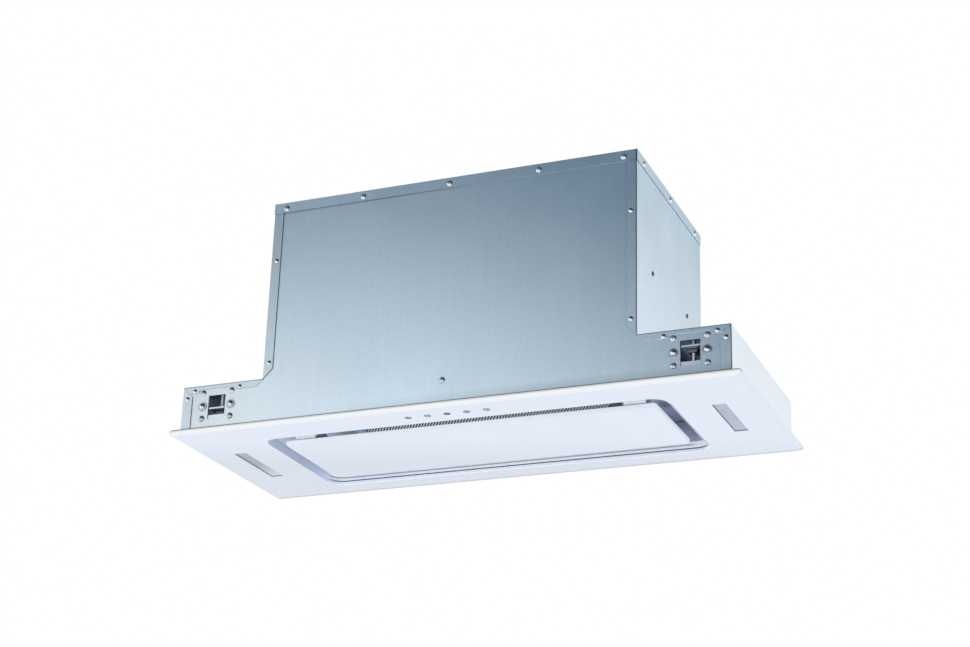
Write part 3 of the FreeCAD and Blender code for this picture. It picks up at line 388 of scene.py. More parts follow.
def colour_between(material, factor, low, high, start=0.3, stop=0.7):
    ramp = add_node(material, "ValToRGB", {"Fac": factor})
    first, last = ramp.color_ramp.elements
    first.position = start
    first.color = (*low, 1)
    last.position = stop
    last.color = (*high, 1)
    return ramp.outputs["Color"]


def tint(material, share, colour):
    """White where the share is 0, the colour where it is 1."""
    return colour_between(material, share, white, colour, 0, 1)


def mix(material, share, first, second, blend="MIX"):
    """The first colour, blended with the second by this share."""
    inputs = {0: share, 6: first, 7: second}
    return add_node(material, "Mix", inputs, data_type="RGBA", blend_type=blend).outputs[2]


def multiply(material, first, second, share=1.0):
    return mix(material, share, first, second, "MULTIPLY")


def shaded(material, colour, share):
    """The colour, darkened to this share of itself."""
    inputs = {0: colour, "Scale": share}
    return add_node(material, "VectorMath", inputs, operation="SCALE").outputs["Vector"]


def edge_normal(material, radius):
    """Normals of a sheet edge rounded by this radius."""
    return add_node(material, "Bevel", {"Radius": radius}, samples=4).outputs["Normal"]


def crevice_shade(material, reach, dark, start=0.5, stop=0.95):
    """White on open faces, dark where another face stands close: painted shade from ambient occlusion."""
    open_share = add_node(material, "AmbientOcclusion", {"Distance": reach}, samples=8).outputs["AO"]
    return colour_between(material, open_share, dark, white, start, stop)


def bump(material, height, strength, depth, normal=None):
    inputs = {"Height": height, "Strength": strength, "Distance": depth}
    if normal:
        inputs["Normal"] = normal
    return add_node(material, "Bump", inputs).outputs["Normal"]


def grained(name, grain, low, high, rough, relief, stretch=(1, 1, 1), edge=None, **more):
    """A material whose one grain, a (scale, detail), sets its tone, its roughness and its relief."""
    material = new_material(name)
    height = noise(material, object_place(material, stretch), *grain)
    rounding = edge_normal(material, edge) if edge else None
    set_shader(material, Base_Color=colour_between(material, height, low, high),
               Roughness=between(material, height, *rough),
               Normal=bump(material, height, *relief, rounding), **more)
    return material


# Glass
def gutter_tones(material, at):
    """1, but small on a painted shadow line beside the opening."""
    off_line = distance(material, at["X"], gutter_line)
    line = between(material, off_line, gutter_tone, 1.0, gutter_core, gutter_reach)
    run = within(material, at["Y"], gutter_front, gutter_rear, gutter_blur)
    return largest(material, line, remainder(material, run))


def front_rim(material, at, facing):
    """1 on the glass's front bevel and cut, 0 elsewhere."""
    forward = between(material, facing["Y"], 1, 0, -0.35, -0.2)
    return product(material, forward, between(material, at["Y"], 1, 0, rim_line, rim_line + rim_blur))


# Face of the glass, with painted shade toward the rear left
def glass_face(material, place, at):
    face = colour_between(material, noise(material, place, 7, 2), (0.80, 0.865, 0.99), (0.82, 0.885, 1.0))
    run = calculate(material, "SUBTRACT", at["Y"], product(material, at["X"], far_skew))
    return shaded(material, face, between(material, run, 1.0, far_tone, far_start, far_full))


def glass_cut(material, at, front):
    """Colour of the edges, with painted light: paler at the left, and almost white along the front."""
    side = colour_between(material, at["X"], (0.88, 0.93, 0.97), (0.80, 0.86, 0.95), 0.0, 0.3)
    return mix(material, front, side, (0.935, 0.965, 1.0, 1))


def edge_glow(material, at):
    """Strength of the painted glow at a cut: strong round the openings, weak at the plate's outer edges.
    """
    across = calculate(material, "DIVIDE", magnitude(material, at["X"]), cad_box[1][0])
    along = calculate(material, "DIVIDE", magnitude(material, at["Y"]), cad_box[1][1])
    outward = largest(material, across, along)
    return between(material, outward, inner_edge_glow, outer_edge_glow, 0.75, 0.95)


def rim_tones(material, at, front, upright):
    """Painted shade: 1, but less at the plate's rear rim and on the front cut, most of all close under the
    wall.
    """
    rear = between(material, at["Y"], 1.0, rear_rim_tone, rear_rim, rear_rim + rear_rim_blur)
    under_wall = between(material, at["Z"], 0.12, 0.55, plate_thickness / 2, plate_thickness)
    return product(material, rear, remainder(material, product(material, front, upright, under_wall)))


def right_cut(material, at, facing):
    """White, but grey on the plate's right cut: painted shade."""
    sideways = between(material, facing["X"], 0, 1, 0.5, 0.8)
    outside = between(material, at["X"], 0, 1, right_rim, right_rim + right_rim_blur)
    return tint(material, product(material, sideways, outside), (0.64, 0.70, 0.80))


def white_glass():
    """Back-painted glass: a cool white face with painted shade, and edges with painted light, painted
    shade and a painted glow.
    """
    material = new_material("white_glass")
    place = object_place(material)
    at = axes(material, place)
    facing = axes(material, surface_normal(material))
    flatness = magnitude(material, facing["Z"])
    upright = between(material, flatness, 1, 0, 0.3, 0.75)
    front = front_rim(material, at, facing)
    gutter = gutter_tones(material, at)
    face = shaded(material, glass_face(material, place, at), gutter)
    cut = between(material, flatness, 1, 0, 0.94, 0.985)
    tone = mix(material, cut, face, glass_cut(material, at, front))
    tone = shaded(material, tone, rim_tones(material, at, front, upright))
    tone = multiply(material, tone, right_cut(material, at, facing))
    # Painted glow on the upright cuts
    glow = product(material, upright, edge_glow(material, at), gutter)
    wipe = noise(material, place, 40, 4)
    set_shader(material, Base_Color=tone, Roughness=between(material, wipe, 0.04, 0.10), IOR=1.5,
               Emission_Color=(0.92, 0.96, 1.0, 1), Emission_Strength=glow,
               Normal=bump(material, noise(material, place, 9, 1), 0.03, 0.6 * mm))
    return material


# Casing
def on_front(material, at, depth=2 * mm):
    """1 on the casing's front wall, 0 from this depth behind it."""
    return between(material, at["Y"], 1, 0, front_wall + depth / 2, front_wall + depth)


def past_tower(material, outward):
    """0 between the tower's side walls, 1 beyond them."""
    return between(material, outward, 0, 1, tower_half_width - 1.5 * mm, tower_half_width - 0.5 * mm)


def on_right_wall(material, at):
    """1 on the right walls and what stands out of them, 0 on the front."""
    return product(material, past_tower(material, at["X"]), remainder(material, on_front(material, at)))


def lap_shade_share(material, at):
    """How much of the painted shade in a lap shows: little along the shoulders and on the right half of
    the front, else fully.
    """
    off_shoulder = distance(material, at["Z"], shoulder_lap)
    shoulder = between(material, off_shoulder, 0.2, 1.0, shoulder_lap_core, shoulder_lap_reach)
    right_half = between(material, at["X"], 0.0, 0.5, -front_lap_blur, front_lap_blur)
    front = product(material, on_front(material, at, 4 * mm), right_half)
    side = product(material, on_right_wall(material, at), 0.4)
    return product(material, shoulder, remainder(material, largest(material, front, side)))


def front_edges(material, at):
    """1 on open faces, small along the sheet edges at the front right corners and the shoulders: painted
    shade lines.
    """
    above = between(material, at["Z"], 0, 1, shoulder_edge, tower_edge_foot)
    beyond = past_tower(material, magnitude(material, at["X"]))
    tower = within(material, at["X"], tower_edge, tower_edge + edge_line, edge_blur)
    collar = within(material, at["X"], collar_edge, collar_edge + edge_line, edge_blur)
    shoulder = within(material, at["Z"], shoulder_edge, shoulder_edge + edge_line, edge_blur)
    line = largest(material, product(material, tower, above), collar, product(material, shoulder, beyond))
    return remainder(material, product(material, line, on_front(material, at), edge_shade))


def front_seam(material, at):
    """1 on open faces, darker on the front wall close above the glass, most of all at the right."""
    right = between(material, at["X"], 0.0, 1.0, seam_shade_start, seam_shade_full)
    close = product(material, right, between(material, at["Z"], 0.22, 0, seam_foot, seam_head))
    contact = between(material, at["Z"], 0.25, 0, seam_foot, seam_foot + seam_contact)
    dark = calculate(material, "ADD", close, contact)
    return remainder(material, product(material, dark, on_front(material, at)))


def right_end(material, at):
    """White, but paler and a little warmer on the collar's right end: painted light."""
    end = between(material, at["X"], 0, 1, pale_end_start, pale_end_full)
    return tint(material, product(material, on_right_wall(material, at), end), (1.10, 1.05, 1.03))


def left_cast(material, at, cast):
    """White, but with this cast toward the collar's left: painted light."""
    left = between(material, at["X"], 1, 0, cast_full, cast_stop)
    low = between(material, at["Z"], 1, 0, collar_top, cast_top)
    return tint(material, product(material, left, low), cast)


def galvanised_steel(name, low, high, cast):
    """Zinc-coated sheet: fine mottled grain, faint rolling streaks, painted shade along the laps, the
    sheet edges and above the glass, and painted light at the collar's ends.
    """
    material = new_material(name)
    place = object_place(material)
    at = axes(material, place)
    grain = noise(material, place, 420, 4, 0.65)
    streak = noise(material, object_place(material, (30, 30, 1.5)), 6, 3)
    cloud = noise(material, place, 11, 3)
    tone = colour_between(material, grain, low, high)
    for blotch in (streak, cloud):
        tone = multiply(material, tone, colour_between(material, blotch, (0.96, 0.97, 0.97), white))
    # Painted shade in the crevices along the laps, weaker along the shoulders and on the right
    lap_shade = crevice_shade(material, 3 * mm, (0.14, 0.17, 0.20))
    tone = multiply(material, tone, lap_shade, lap_shade_share(material, at))
    tone = shaded(material, tone, front_edges(material, at))
    tone = shaded(material, tone, front_seam(material, at))
    tone = multiply(material, tone, right_end(material, at))
    tone = multiply(material, tone, left_cast(material, at, cast))
    set_shader(material, Base_Color=tone, Metallic=1.0, Roughness=between(material, cloud, 0.29, 0.34),
               Normal=bump(material, grain, 0.05, 0.2 * mm))
    return material


# Well
def ceiling_tones(material, at):
    """Painted shade: 1, but darker on the left half of the well's ceiling and in a patch at its right."""
    flatness = magnitude(material, axes(material, surface_normal(material))["Z"])
    flat = between(material, flatness, 0, 1, 0.5, 0.9)
    deep = between(material, at["Z"], 0, 1, ceiling_start, well_height)
    left = between(material, at["X"], 0, left_shade_depth, left_shade_start, left_shade_full)
    left = product(material, left, between(material, at["X"], 1, 0, -left_shade_blur, left_shade_blur))
    shade_patch = product(material, within(material, at["X"], shade_patch_low[0], shade_patch_high[0], shade_patch_blur[0]),
                    within(material, at["Y"], shade_patch_low[1], shade_patch_high[1], shade_patch_blur[1]), shade_patch_depth)
    return remainder(material, product(material, flat, deep, largest(material, left, shade_patch)))


def polished_steel():
    """Bright rolled sheet inside the well, bluish as a painted reflection of the plates round it, with
    painted light low down, painted shade along its corners and a painted glow.
    """
    material = new_material("polished_steel")
    place = object_place(material)
    at = axes(material, place)
    lines = noise(material, object_place(material, (1, 60, 60)), 12, 4)
    tone = colour_between(material, noise(material, place, 14, 2), (0.72, 0.79, 0.97), (0.78, 0.85, 1.0))
    # Painted light low on the walls, painted shade higher up and on the ceiling
    tone = shaded(material, tone, product(material, ceiling_tones(material, at),
                                          between(material, at["Z"], 1.25, 0.6, well_bright, well_dim)))
    # Painted shade along the well's corners
    corner = crevice_shade(material, 2 * mm, (0.45, 0.47, 0.55))
    tone = multiply(material, tone, corner)
    # Painted glow, strongest low down and toward the left
    glow = product(material, between(material, at["Z"], 3.2, 0.6, well_bright, well_dim),
                   between(material, at["X"], well_left_shine, well_right_shine, -well_blur, well_blur))
    set_shader(material, Base_Color=tone, Metallic=0.75, Roughness=between(material, lines, 0.16, 0.26),
               Emission_Color=multiply(material, tone, corner), Emission_Strength=glow,
               Normal=bump(material, lines, 0.04, 0.2 * mm, edge_normal(material, 0.4 * mm)))
    return material


def lining_joints(material, at, rear):
    """1, but dark on the joint along the rear of the lining, and on its crest up to the right corner as a
    painted shadow line.
    """
    off_joint = distance(material, at["Z"], lining_joint)
    joint = between(material, off_joint, 0.15, 1.0, lining_joint_core, lining_joint_reach)
    on_crest = within(material, at["Z"], lining_crest, lining_crest_top, lining_crest_blur)
    right_corner = between(material, at["X"], 0, 1, lining_corner - lining_corner_blur, lining_corner)
    crest = largest(material, between(material, on_crest, 1.0, 0.45, 0, 1), right_corner)
    return largest(material, product(material, joint, crest), remainder(material, rear))


def bright_lining():
    """Lavender sheet that lines the opening, with painted light and a painted glow: lightest along the
    rear, with a dark joint there.
    """
    material = new_material("bright_lining")
    at = axes(material, object_place(material))
    lines = noise(material, object_place(material, (4, 4, 90)), 20, 3)
    rear = between(material, at["Y"], 0.0, 1.0, lining_rear_start, lining_rear_full)
    joints = lining_joints(material, at, rear)
    tone = colour_between(material, lines, (0.60, 0.69, 0.92), (0.68, 0.77, 0.99))
    tone = shaded(material, mix(material, rear, tone, (0.86, 0.89, 1.0, 1)), joints)
    # Painted glow, strongest along the rear and dimmer at the foot
    shine = product(material, between(material, rear, lining_side_shine, lining_rear_shine, 0, 1),
                    between(material, at["Z"], 0.85, 1.0, lining_foot_dim, lining_foot_bright), joints)
    set_shader(material, Base_Color=tone, Metallic=0.5, Roughness=between(material, lines, 0.25, 0.4),
               Emission_Color=(0.90, 0.92, 1.0, 1), Emission_Strength=shine)
    return material


# Hardware
def bright_hardware():
    """Bright zinc plate of screws, rivets and pins, with painted shade on the upper right of each head."""
    material = new_material("bright_hardware")
    place = object_place(material)
    wear = noise(material, place, 900, 3)
    tone = colour_between(material, wear, (0.80, 0.83, 0.87), (0.92, 0.94, 0.97))
    # Painted shade by the way each head faces, with painted light on the heads in the right walls
    inputs = {0: surface_normal(material), 1: (-0.6, 0, -0.8)}
    lit = add_node(material, "VectorMath", inputs, operation="DOT_PRODUCT").outputs["Value"]
    right = on_right_wall(material, axes(material, place))
    lit = calculate(material, "ADD", lit, product(material, right, 0.9))
    lit = between(material, lit, 0, 1, -0.25, 0.3)
    head_shade = colour_between(material, lit, (0.22, 0.24, 0.28), white, 0, 1)
    set_shader(material, Base_Color=multiply(material, tone, head_shade), Metallic=1.0,
               Roughness=between(material, wear, 0.12, 0.22), Normal=edge_normal(material, 0.25 * mm))
    return material


def bright_strip():
    """Near-white plated steel of the panel's tabs."""
    return grained("bright_strip", (30, 3), (0.66, 0.72, 0.79), (0.73, 0.79, 0.86), (0.18, 0.3),
                   (0.05, 0.1 * mm), (2, 60, 60), Metallic=1.0)


def zinc_clamp_steel(name, low, high):
    """Plated steel of the clamps, with painted shade where it lies deep behind the wall."""
    material = new_material(name)
    place = object_place(material)
    grain = noise(material, place, 260, 3)
    cloud = noise(material, place, 30, 2)
    tone = colour_between(material, grain, low, high)
    tone = multiply(material, tone, crevice_shade(material, 16 * mm, (0.15, 0.145, 0.14), 0.3, 0.8))
    set_shader(material, Base_Color=tone, Metallic=0.8, Roughness=between(material, cloud, 0.26, 0.32),
               Normal=bump(material, grain, 0.04, 0.2 * mm, edge_normal(material, 0.3 * mm)))
    return material


def thread_ridges(material, place, axis):
    """Height of a screw thread wound round an upright axis, flat beyond the thread's reach."""
    shifted = add_node(material, "Mapping", {"Vector": place, "Location": (-axis.x, -axis.y, 0)})
    x, y, z = axes(material, shifted.outputs["Vector"])
    turns = calculate(material, "DIVIDE", calculate(material, "ARCTAN2", y, x), 2 * math.pi)
    wound = calculate(material, "ADD", calculate(material, "DIVIDE", z, thread_pitch), turns)
    ridge = calculate(material, "PINGPONG", wound, 0.5)
    square = calculate(material, "ADD", product(material, x, x), product(material, y, y))
    out = calculate(material, "SQRT", square)
    return product(material, ridge, calculate(material, "LESS_THAN", out, thread_reach))


def threaded_steel(corner):
    """Plated steel of one spindle, with a screw thread turned round the spindle's axis."""
    material = new_material("threaded_steel_" + corner)
    low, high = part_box("clamp_spindle_" + corner)
    place = add_node(material, "TexCoord").outputs["Object"]
    ridges = thread_ridges(material, place, (low + high) / 2)
    grain = noise(material, place, 400, 3)
    tone = colour_between(material, grain, (0.74, 0.76, 0.78), (0.86, 0.88, 0.90))
    set_shader(material, Base_Color=tone, Metallic=1.0, Roughness=between(material, grain, 0.2, 0.34),
               Normal=bump(material, ridges, 0.6, 2 * thread_depth))
    return material


# Filter
def filter_aluminium():
    """Grainy grey sheet of the filter's frame."""
    return grained("filter_aluminium", (340, 3), (0.40, 0.45, 0.52), (0.52, 0.58, 0.65), (0.25, 0.4),
                   (0.15, 0.2 * mm), Metallic=0.9)


def mesh_aluminium():
    """Pale matt strands of the filter's mesh, with a faint painted glow."""
    return grained("mesh_aluminium", (500, 3), (0.78, 0.80, 0.83), (0.90, 0.91, 0.93), (0.35, 0.5),
                   (0.15, 0.1 * mm), Metallic=0.15,
                   Emission_Color=(0.9, 0.95, 1.0, 1), Emission_Strength=mesh_glow)


def shaded_mesh_aluminium():
    """Strands deep in the mesh, dark grey as painted shade."""
    return grained("shaded_mesh_aluminium", (60, 4), (0.16, 0.17, 0.19), (0.26, 0.27, 0.29), (0.3, 0.5),
                   (0.1, 0.2 * mm), Metallic=0.6)


# Plastics, lenses, rubber and paint
def moulded_plastic(name, dark, light, rough_low, rough_high):
    """Moulded plastic with a fine spark-eroded grain."""
    material = new_material(name)
    place = object_place(material)
    grain = noise(material, place, 1400, 2)
    tone = colour_between(material, noise(material, place, 18, 3), dark, light)
    set_shader(material, Base_Color=tone, Roughness=between(material, grain, rough_low, rough_high),
               Normal=bump(material, grain, 0.18, 0.2 * mm, edge_normal(material, 0.4 * mm)))
    return material


def frosted_lens():
    """Frosted lamp cover with a fine prism pattern; the left lens has painted shade at its front and
    painted light toward its rear.
    """
    material = new_material("frosted_lens")
    place = object_place(material)
    at = axes(material, place)
    prisms = cells(material, place, 520)
    tone = colour_between(material, noise(material, place, 16, 2), (0.41, 0.48, 0.59), (0.48, 0.55, 0.67))
    # Painted shade on the left lens, with painted light toward its rear
    left = between(material, at["X"], 1, 0, -lens_blur, lens_blur)
    paler = product(material, left, between(material, at["Y"], 0, 0.5, 0, lens_rear))
    share = calculate(material, "ADD", between(material, left, 1.0, 0.84, 0, 1), paler)
    set_shader(material, Base_Color=shaded(material, tone, share), IOR=1.49,
               Roughness=between(material, prisms, 0.22, 0.40, 0.1, 0.6),
               Normal=bump(material, prisms, 0.12, 0.3 * mm))
    return material


def foam_rubber():
    """Near-black rubber full of small pores."""
    material = new_material("foam_rubber")
    pores = cells(material, object_place(material), 1100)
    tone = colour_between(material, pores, (0.035, 0.036, 0.04), (0.09, 0.09, 0.095), 0.1, 0.6)
    set_shader(material, Base_Color=tone, Roughness=between(material, pores, 0.75, 0.95, 0.1, 0.6),
               Normal=bump(material, pores, 0.5, 0.5 * mm))
    return material


def circuit_board():
    """Green solder mask with paler copper tracks under it."""
    material = new_material("circuit_board")
    place = object_place(material)
    inputs = {"Vector": place, "Scale": 90, "Mortar Size": 0.03}
    tracks = add_node(material, "TexBrick", inputs).outputs["Fac"]
    tone = colour_between(material, tracks, (0.02, 0.16, 0.07), (0.10, 0.34, 0.16))
    speck = noise(material, place, 500, 2)
    set_shader(material, Base_Color=tone, Roughness=between(material, speck, 0.25, 0.45),
               Normal=bump(material, tracks, 0.3, 0.1 * mm))
    return material


def motor_paint():
    """Satin paint with a light orange-peel skin."""
    return grained("motor_paint", (320, 2), (0.10, 0.11, 0.12), (0.15, 0.16, 0.17), (0.35, 0.5),
                   (0.25, 0.3 * mm), edge=0.5 * mm)


def printed_ink():
    """Almost black ink of the touch marks."""
    material = new_material("printed_ink")
    speck = noise(material, object_place(material), 2500, 2)
    tone = colour_between(material, speck, (0.012, 0.014, 0.018), (0.03, 0.033, 0.038))
    set_shader(material, Base_Color=tone, Roughness=between(material, speck, 0.25, 0.4))
    return material


looks = {
    "white_glass": white_glass(),
    "galvanised_steel": galvanised_steel("galvanised_steel", (0.665, 0.78, 0.89), (0.775, 0.89, 0.99),
                                         (1.08, 1.0, 0.95)),
    "polished_steel": polished_steel(),
    "bright_hardware": bright_hardware(),
    "zinc_clamp_steel": zinc_clamp_steel("zinc_clamp_steel", (0.64, 0.72, 0.79), (0.72, 0.80, 0.87)),
    "filter_aluminium": filter_aluminium(),
    "black_plastic": moulded_plastic("black_plastic", (0.014, 0.014, 0.016), (0.024, 0.024, 0.027),
                                     0.38, 0.55),
    "grey_plastic": moulded_plastic("grey_plastic", (0.30, 0.31, 0.32), (0.36, 0.37, 0.38), 0.42, 0.58),
    "frosted_lens": frosted_lens(),
    "foam_rubber": foam_rubber(),
    "circuit_board": circuit_board(),
    "impeller_plastic": moulded_plastic("impeller_plastic", (0.05, 0.05, 0.055), (0.08, 0.08, 0.085),
                                        0.40, 0.55),
    "motor_paint": motor_paint(),
}


def dress_nodes():
    """Gives each CAD node the material of its slot in the record, and a few a look of their own, among
    them darker copies that paint shade.
    """
    for row in frame["record"]["subparts"]:
        slots = frame["nodes"][row["node"]].data.materials
        slots.clear()
        slots.append(looks[row["material_slot"]])
    # Darker copy of the galvanised steel on the left side sheet: painted shade
    shaded_left_sheet_steel = galvanised_steel("shaded_galvanised_steel", (0.64, 0.72, 0.79), (0.70, 0.78, 0.85),
                              (1.04, 1.04, 1.04))
    frame["nodes"]["left_side_sheet"].data.materials[0] = shaded_left_sheet_steel
    # Darker copy of the clamp steel on the nuts: painted shade deep behind the windows
    shaded_nut_steel = zinc_clamp_steel("shaded_clamp_steel", (0.20, 0.24, 0.26), (0.28, 0.32, 0.34))
    for corner in corners:
        frame["nodes"]["clamp_nut_" + corner].data.materials[0] = shaded_nut_steel
        frame["nodes"]["clamp_spindle_" + corner].data.materials[0] = threaded_steel(corner)


# Pieces made of mesh
def new_piece(name, bm, material, body):
    mesh = bpy.data.meshes.new(name)
    bmesh.ops.recalc_face_normals(bm, faces=bm.faces)
    bm.to_mesh(mesh)
    bm.free()
    mesh.materials.append(material)
    piece = bpy.data.objects.new(name, mesh)
    bpy.context.scene.collection.objects.link(piece)
    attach(piece, body)
    return piece


def loop_faces(bm, rings, closed):
    """Joins rings of vertices to a skin. Closed joins the last ring to the first, else ends are capped."""
    pairs = list(zip(rings, rings[1:]))
    if closed:
        pairs.append((rings[-1], rings[0]))
    for first, second in pairs:
        for number in range(len(first)):
            following = (number + 1) % len(first)
            bm.faces.new((first[number], first[following], second[following], second[number]))
    if not closed:
        bm.faces.new(rings[0][::-1])
        bm.faces.new(rings[-1])


def bar(bm, start, stop, wide, thick):
    """Straight bar from start to stop; wide and thick reach from its middle to its faces."""
    rings = []
    for point in (start, stop):
        ring = [point - wide - thick, point + wide - thick, point + wide + thick, point - wide + thick]
        rings.append([bm.verts.new(corner) for corner in ring])
    loop_faces(bm, rings, False)


# Touch marks
def ink_band(bm, centre, radius, start, stop, steps=40):
    """Part of a printed ring on the glass's underside, from one angle to another."""
    whole = abs(stop - start) >= 2 * math.pi - 1e-6
    rings = []
    for number in range(steps if whole else steps + 1):
        angle = start + (stop - start) * number / steps
        out = Vector((math.cos(angle), math.sin(angle), 0))
        ring = []
        for reach, z in ((-0.5, 0), (0.5, 0), (0.5, -mark_ink), (-0.5, -mark_ink)):
            ring.append(bm.verts.new(centre + out * (radius + reach * mark_line) + Vector((0, 0, z))))
        rings.append(ring)
    loop_faces(bm, rings, whole)


def ink_line(bm, start, stop):
    """Printed line on the glass's underside."""
    along = (stop - start).normalized()
    across = Vector((-along.y, along.x, 0)) * mark_line / 2
    half_ink = up * mark_ink / 2
    bar(bm, start - half_ink, stop - half_ink, across, half_ink)


def lamp_icon(bm, centre):
    reach = mark_ring_radius * 0.35
    ink_band(bm, centre + Vector((0, reach * 0.35, 0)), reach * 0.8, math.radians(-60), math.radians(240))
    ink_line(bm, centre + Vector((-reach * 0.5, -reach, 0)), centre + Vector((reach * 0.5, -reach, 0)))


def minus_icon(bm, centre):
    reach = Vector((mark_ring_radius * 0.45, 0, 0))
    ink_line(bm, centre - reach, centre + reach)


def plus_icon(bm, centre):
    minus_icon(bm, centre)
    reach = Vector((0, mark_ring_radius * 0.45, 0))
    ink_line(bm, centre - reach, centre + reach)


def power_icon(bm, centre):
    reach = mark_ring_radius * 0.5
    ink_band(bm, centre, reach, math.radians(125), math.radians(415))
    ink_line(bm, centre, centre + Vector((0, reach * 1.1, 0)))


def clock_icon(bm, centre):
    reach = mark_ring_radius * 0.5
    ink_line(bm, centre, centre + Vector((0, reach, 0)))
    ink_line(bm, centre, centre + Vector((reach * 0.8, 0, 0)))


def touch_marks():
    """Five printed keys on the glass in front of the opening."""
    bm = bmesh.new()
    first = -mark_pitch * (mark_count - 1) / 2
    for number, icon in enumerate((lamp_icon, minus_icon, power_icon, plus_icon, clock_icon)):
        centre = Vector((first + number * mark_pitch, mark_row, 0))
        ink_band(bm, centre, mark_ring_radius, 0, 2 * math.pi)
        icon(bm, centre)
    return new_piece("touch_marks", bm, printed_ink(), "casing")


# Panel trim
def panel_tab(side, tab_look):
    """Bright strip on one of the panel's front tabs, leaning forward so that it mirrors the floor."""
    foot = Vector((0, tab_front, tab_foot))
    top = Vector((0, tab_front - tab_lean, tab_foot + tab_rise))
    back = Vector((0, tab_sheet, 0))
    under = top - up * tab_sheet
    section = [foot, top, top + back * 4, under + back * 4, under + back, foot + back]
    bm = bmesh.new()
    rings = []
    for x in (tab_inner * side, tab_outer * side):
        rings.append([bm.verts.new(point + Vector((x, 0, 0))) for point in section])
    loop_faces(bm, rings, False)
    bmesh.ops.bevel(bm, geom=bm.edges[:], offset=tab_round, segments=2, affect="EDGES")
    name = "panel_tab_left" if side < 0 else "panel_tab_right"
    return new_piece(name, bm, tab_look, "suction_panel")


def striker_blocks():
    """Blocks with sloped shoulders and a stud, narrowed to the back, in place of the plain ones."""
    low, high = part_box("panel_strikers")
    foot = low.z
    bm = bmesh.new()
    for side in (-1, 1):
        centre = side * striker_x
        rings = []
        for y, narrow in ((low.y, 0), (low.y + striker_taper, striker_narrow), (high.y, striker_narrow)):
            wide = striker_base / 2 - narrow
            slim = striker_top / 2 - narrow
            section = [(-wide, foot), (wide, foot), (wide, striker_shoulder), (slim, striker_crown),
                       (-slim, striker_crown), (-wide, striker_shoulder)]
            rings.append([bm.verts.new((centre + x, y, z)) for x, z in section])
        loop_faces(bm, rings, False)
        middle = Matrix.Translation((centre, (low.y + high.y) / 2, (striker_crown + high.z) / 2))
        bmesh.ops.create_cone(bm, cap_ends=True, segments=stud_steps, radius1=stud_foot_radius,
                              radius2=stud_tip_radius, depth=high.z - striker_crown, matrix=middle)
    look = moulded_plastic("striker_plastic", (0.13, 0.14, 0.16), (0.18, 0.19, 0.21), 0.4, 0.55)
    piece = new_piece("striker_blocks", bm, look, "suction_panel")
    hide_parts("panel_strikers")
    return piece


# Bands round rounded rectangles
def outline(low, high, radius, inset, z, steps=8):
    """Points round a rounded rectangle at height z, drawn in by the inset."""
    points = []
    bend = radius - inset
    for corner, (east, north) in enumerate(((1, 1), (-1, 1), (-1, -1), (1, -1))):
        middle = Vector((high[0] - radius if east > 0 else low[0] + radius,
                         high[1] - radius if north > 0 else low[1] + radius, z))
        for number in range(steps + 1):
            angle = math.radians(90 * (corner + number / steps))
            points.append(middle + Vector((math.cos(angle), math.sin(angle), 0)) * bend)
    return points


def flat_section(near, far, bottom, top):
    """Loop of (inset, height) round an upright sheet."""
    return [(near, bottom), (far, bottom), (far, top), (near, top)]


def band(bm, low, high, radius, section):
    """Closed band round a rounded rectangle; the section is a loop of (inset, height)."""
    loops = [outline(low, high, radius, inset, z) for inset, z in section]
    rings = [[bm.verts.new(loop[number]) for loop in loops] for number in range(len(loops[0]))]
    loop_faces(bm, rings, True)


def opening_lining():
    """Bright sheet round the opening, from the glass's underside up into the well."""
    low = (-opening_half_width, opening_front)
    high = (opening_half_width, opening_rear)
    section = flat_section(lining_gap, lining_gap + lining_sheet, lining_bottom, lining_top)
    bm = bmesh.new()
    band(bm, low, high, opening_radius, section)
    return new_piece("opening_lining", bm, bright_lining(), "casing")


def lens_gasket(side):
    """Thin dark line of rubber round a lamp's lens."""
    name = "left" if side < 0 else "right"
    low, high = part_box("led_lens_" + name)
    inset = lens_flange - gasket_lap
    low = (low.x + inset, low.y + inset)
    high = (high.x - inset, high.y - inset)
    bm = bmesh.new()
    band(bm, low, high, gasket_corner, flat_section(0, gasket_width, gasket_bottom, gasket_top))
    return new_piece("lens_gasket_" + name, bm, looks["foam_rubber"], "casing")


# Filter mesh and its pull tab
def strand(bm, start, stop, lean):
    """One flat strand of the mesh, tilted about its own length."""
    along = (stop - start).normalized()
    across = Vector((-along.y, along.x, 0))
    wide = (across * math.cos(lean) + up * math.sin(lean)) * strand_width / 2
    thick = (up * math.cos(lean) - across * math.sin(lean)) * strand_height / 2
    bar(bm, start, stop, wide, thick)


def diagonal_runs(low, high, slope, shift):
    """Slanting lines across a rectangle, one strand pitch apart, as pairs of end points."""
    step = strand_pitch * math.hypot(1, slope) / abs(slope)
    reach = (high.y - low.y) / abs(slope)
    count = int((high.x - low.x + reach) / step)
    runs = []
    for number in range(count + 1):
        foot = low.x - reach + shift + number * step
        near = max(foot, low.x)
        far = min(foot + reach, high.x)
        if far - near < strand_pitch:
            continue
        ends = []
        for x in (near, far):
            rise = (x - foot) * slope
            y = low.y + rise if slope > 0 else high.y + rise
            ends.append((x, y))
        runs.append(ends)
    return runs


def weave_layer(bm, low, high, layer):
    """One layer of parallel strands, which cross those of the next layer."""
    z = low.z + (high.z - low.z) * layer / (strand_layers - 1)
    lean = -1 if layer % 2 == 0 else 1
    shift = strand_pitch * layer / strand_layers
    for start, stop in diagonal_runs(low, high, lean * strand_slope, shift):
        strand(bm, Vector((*start, z)), Vector((*stop, z)), strand_tilt * lean)


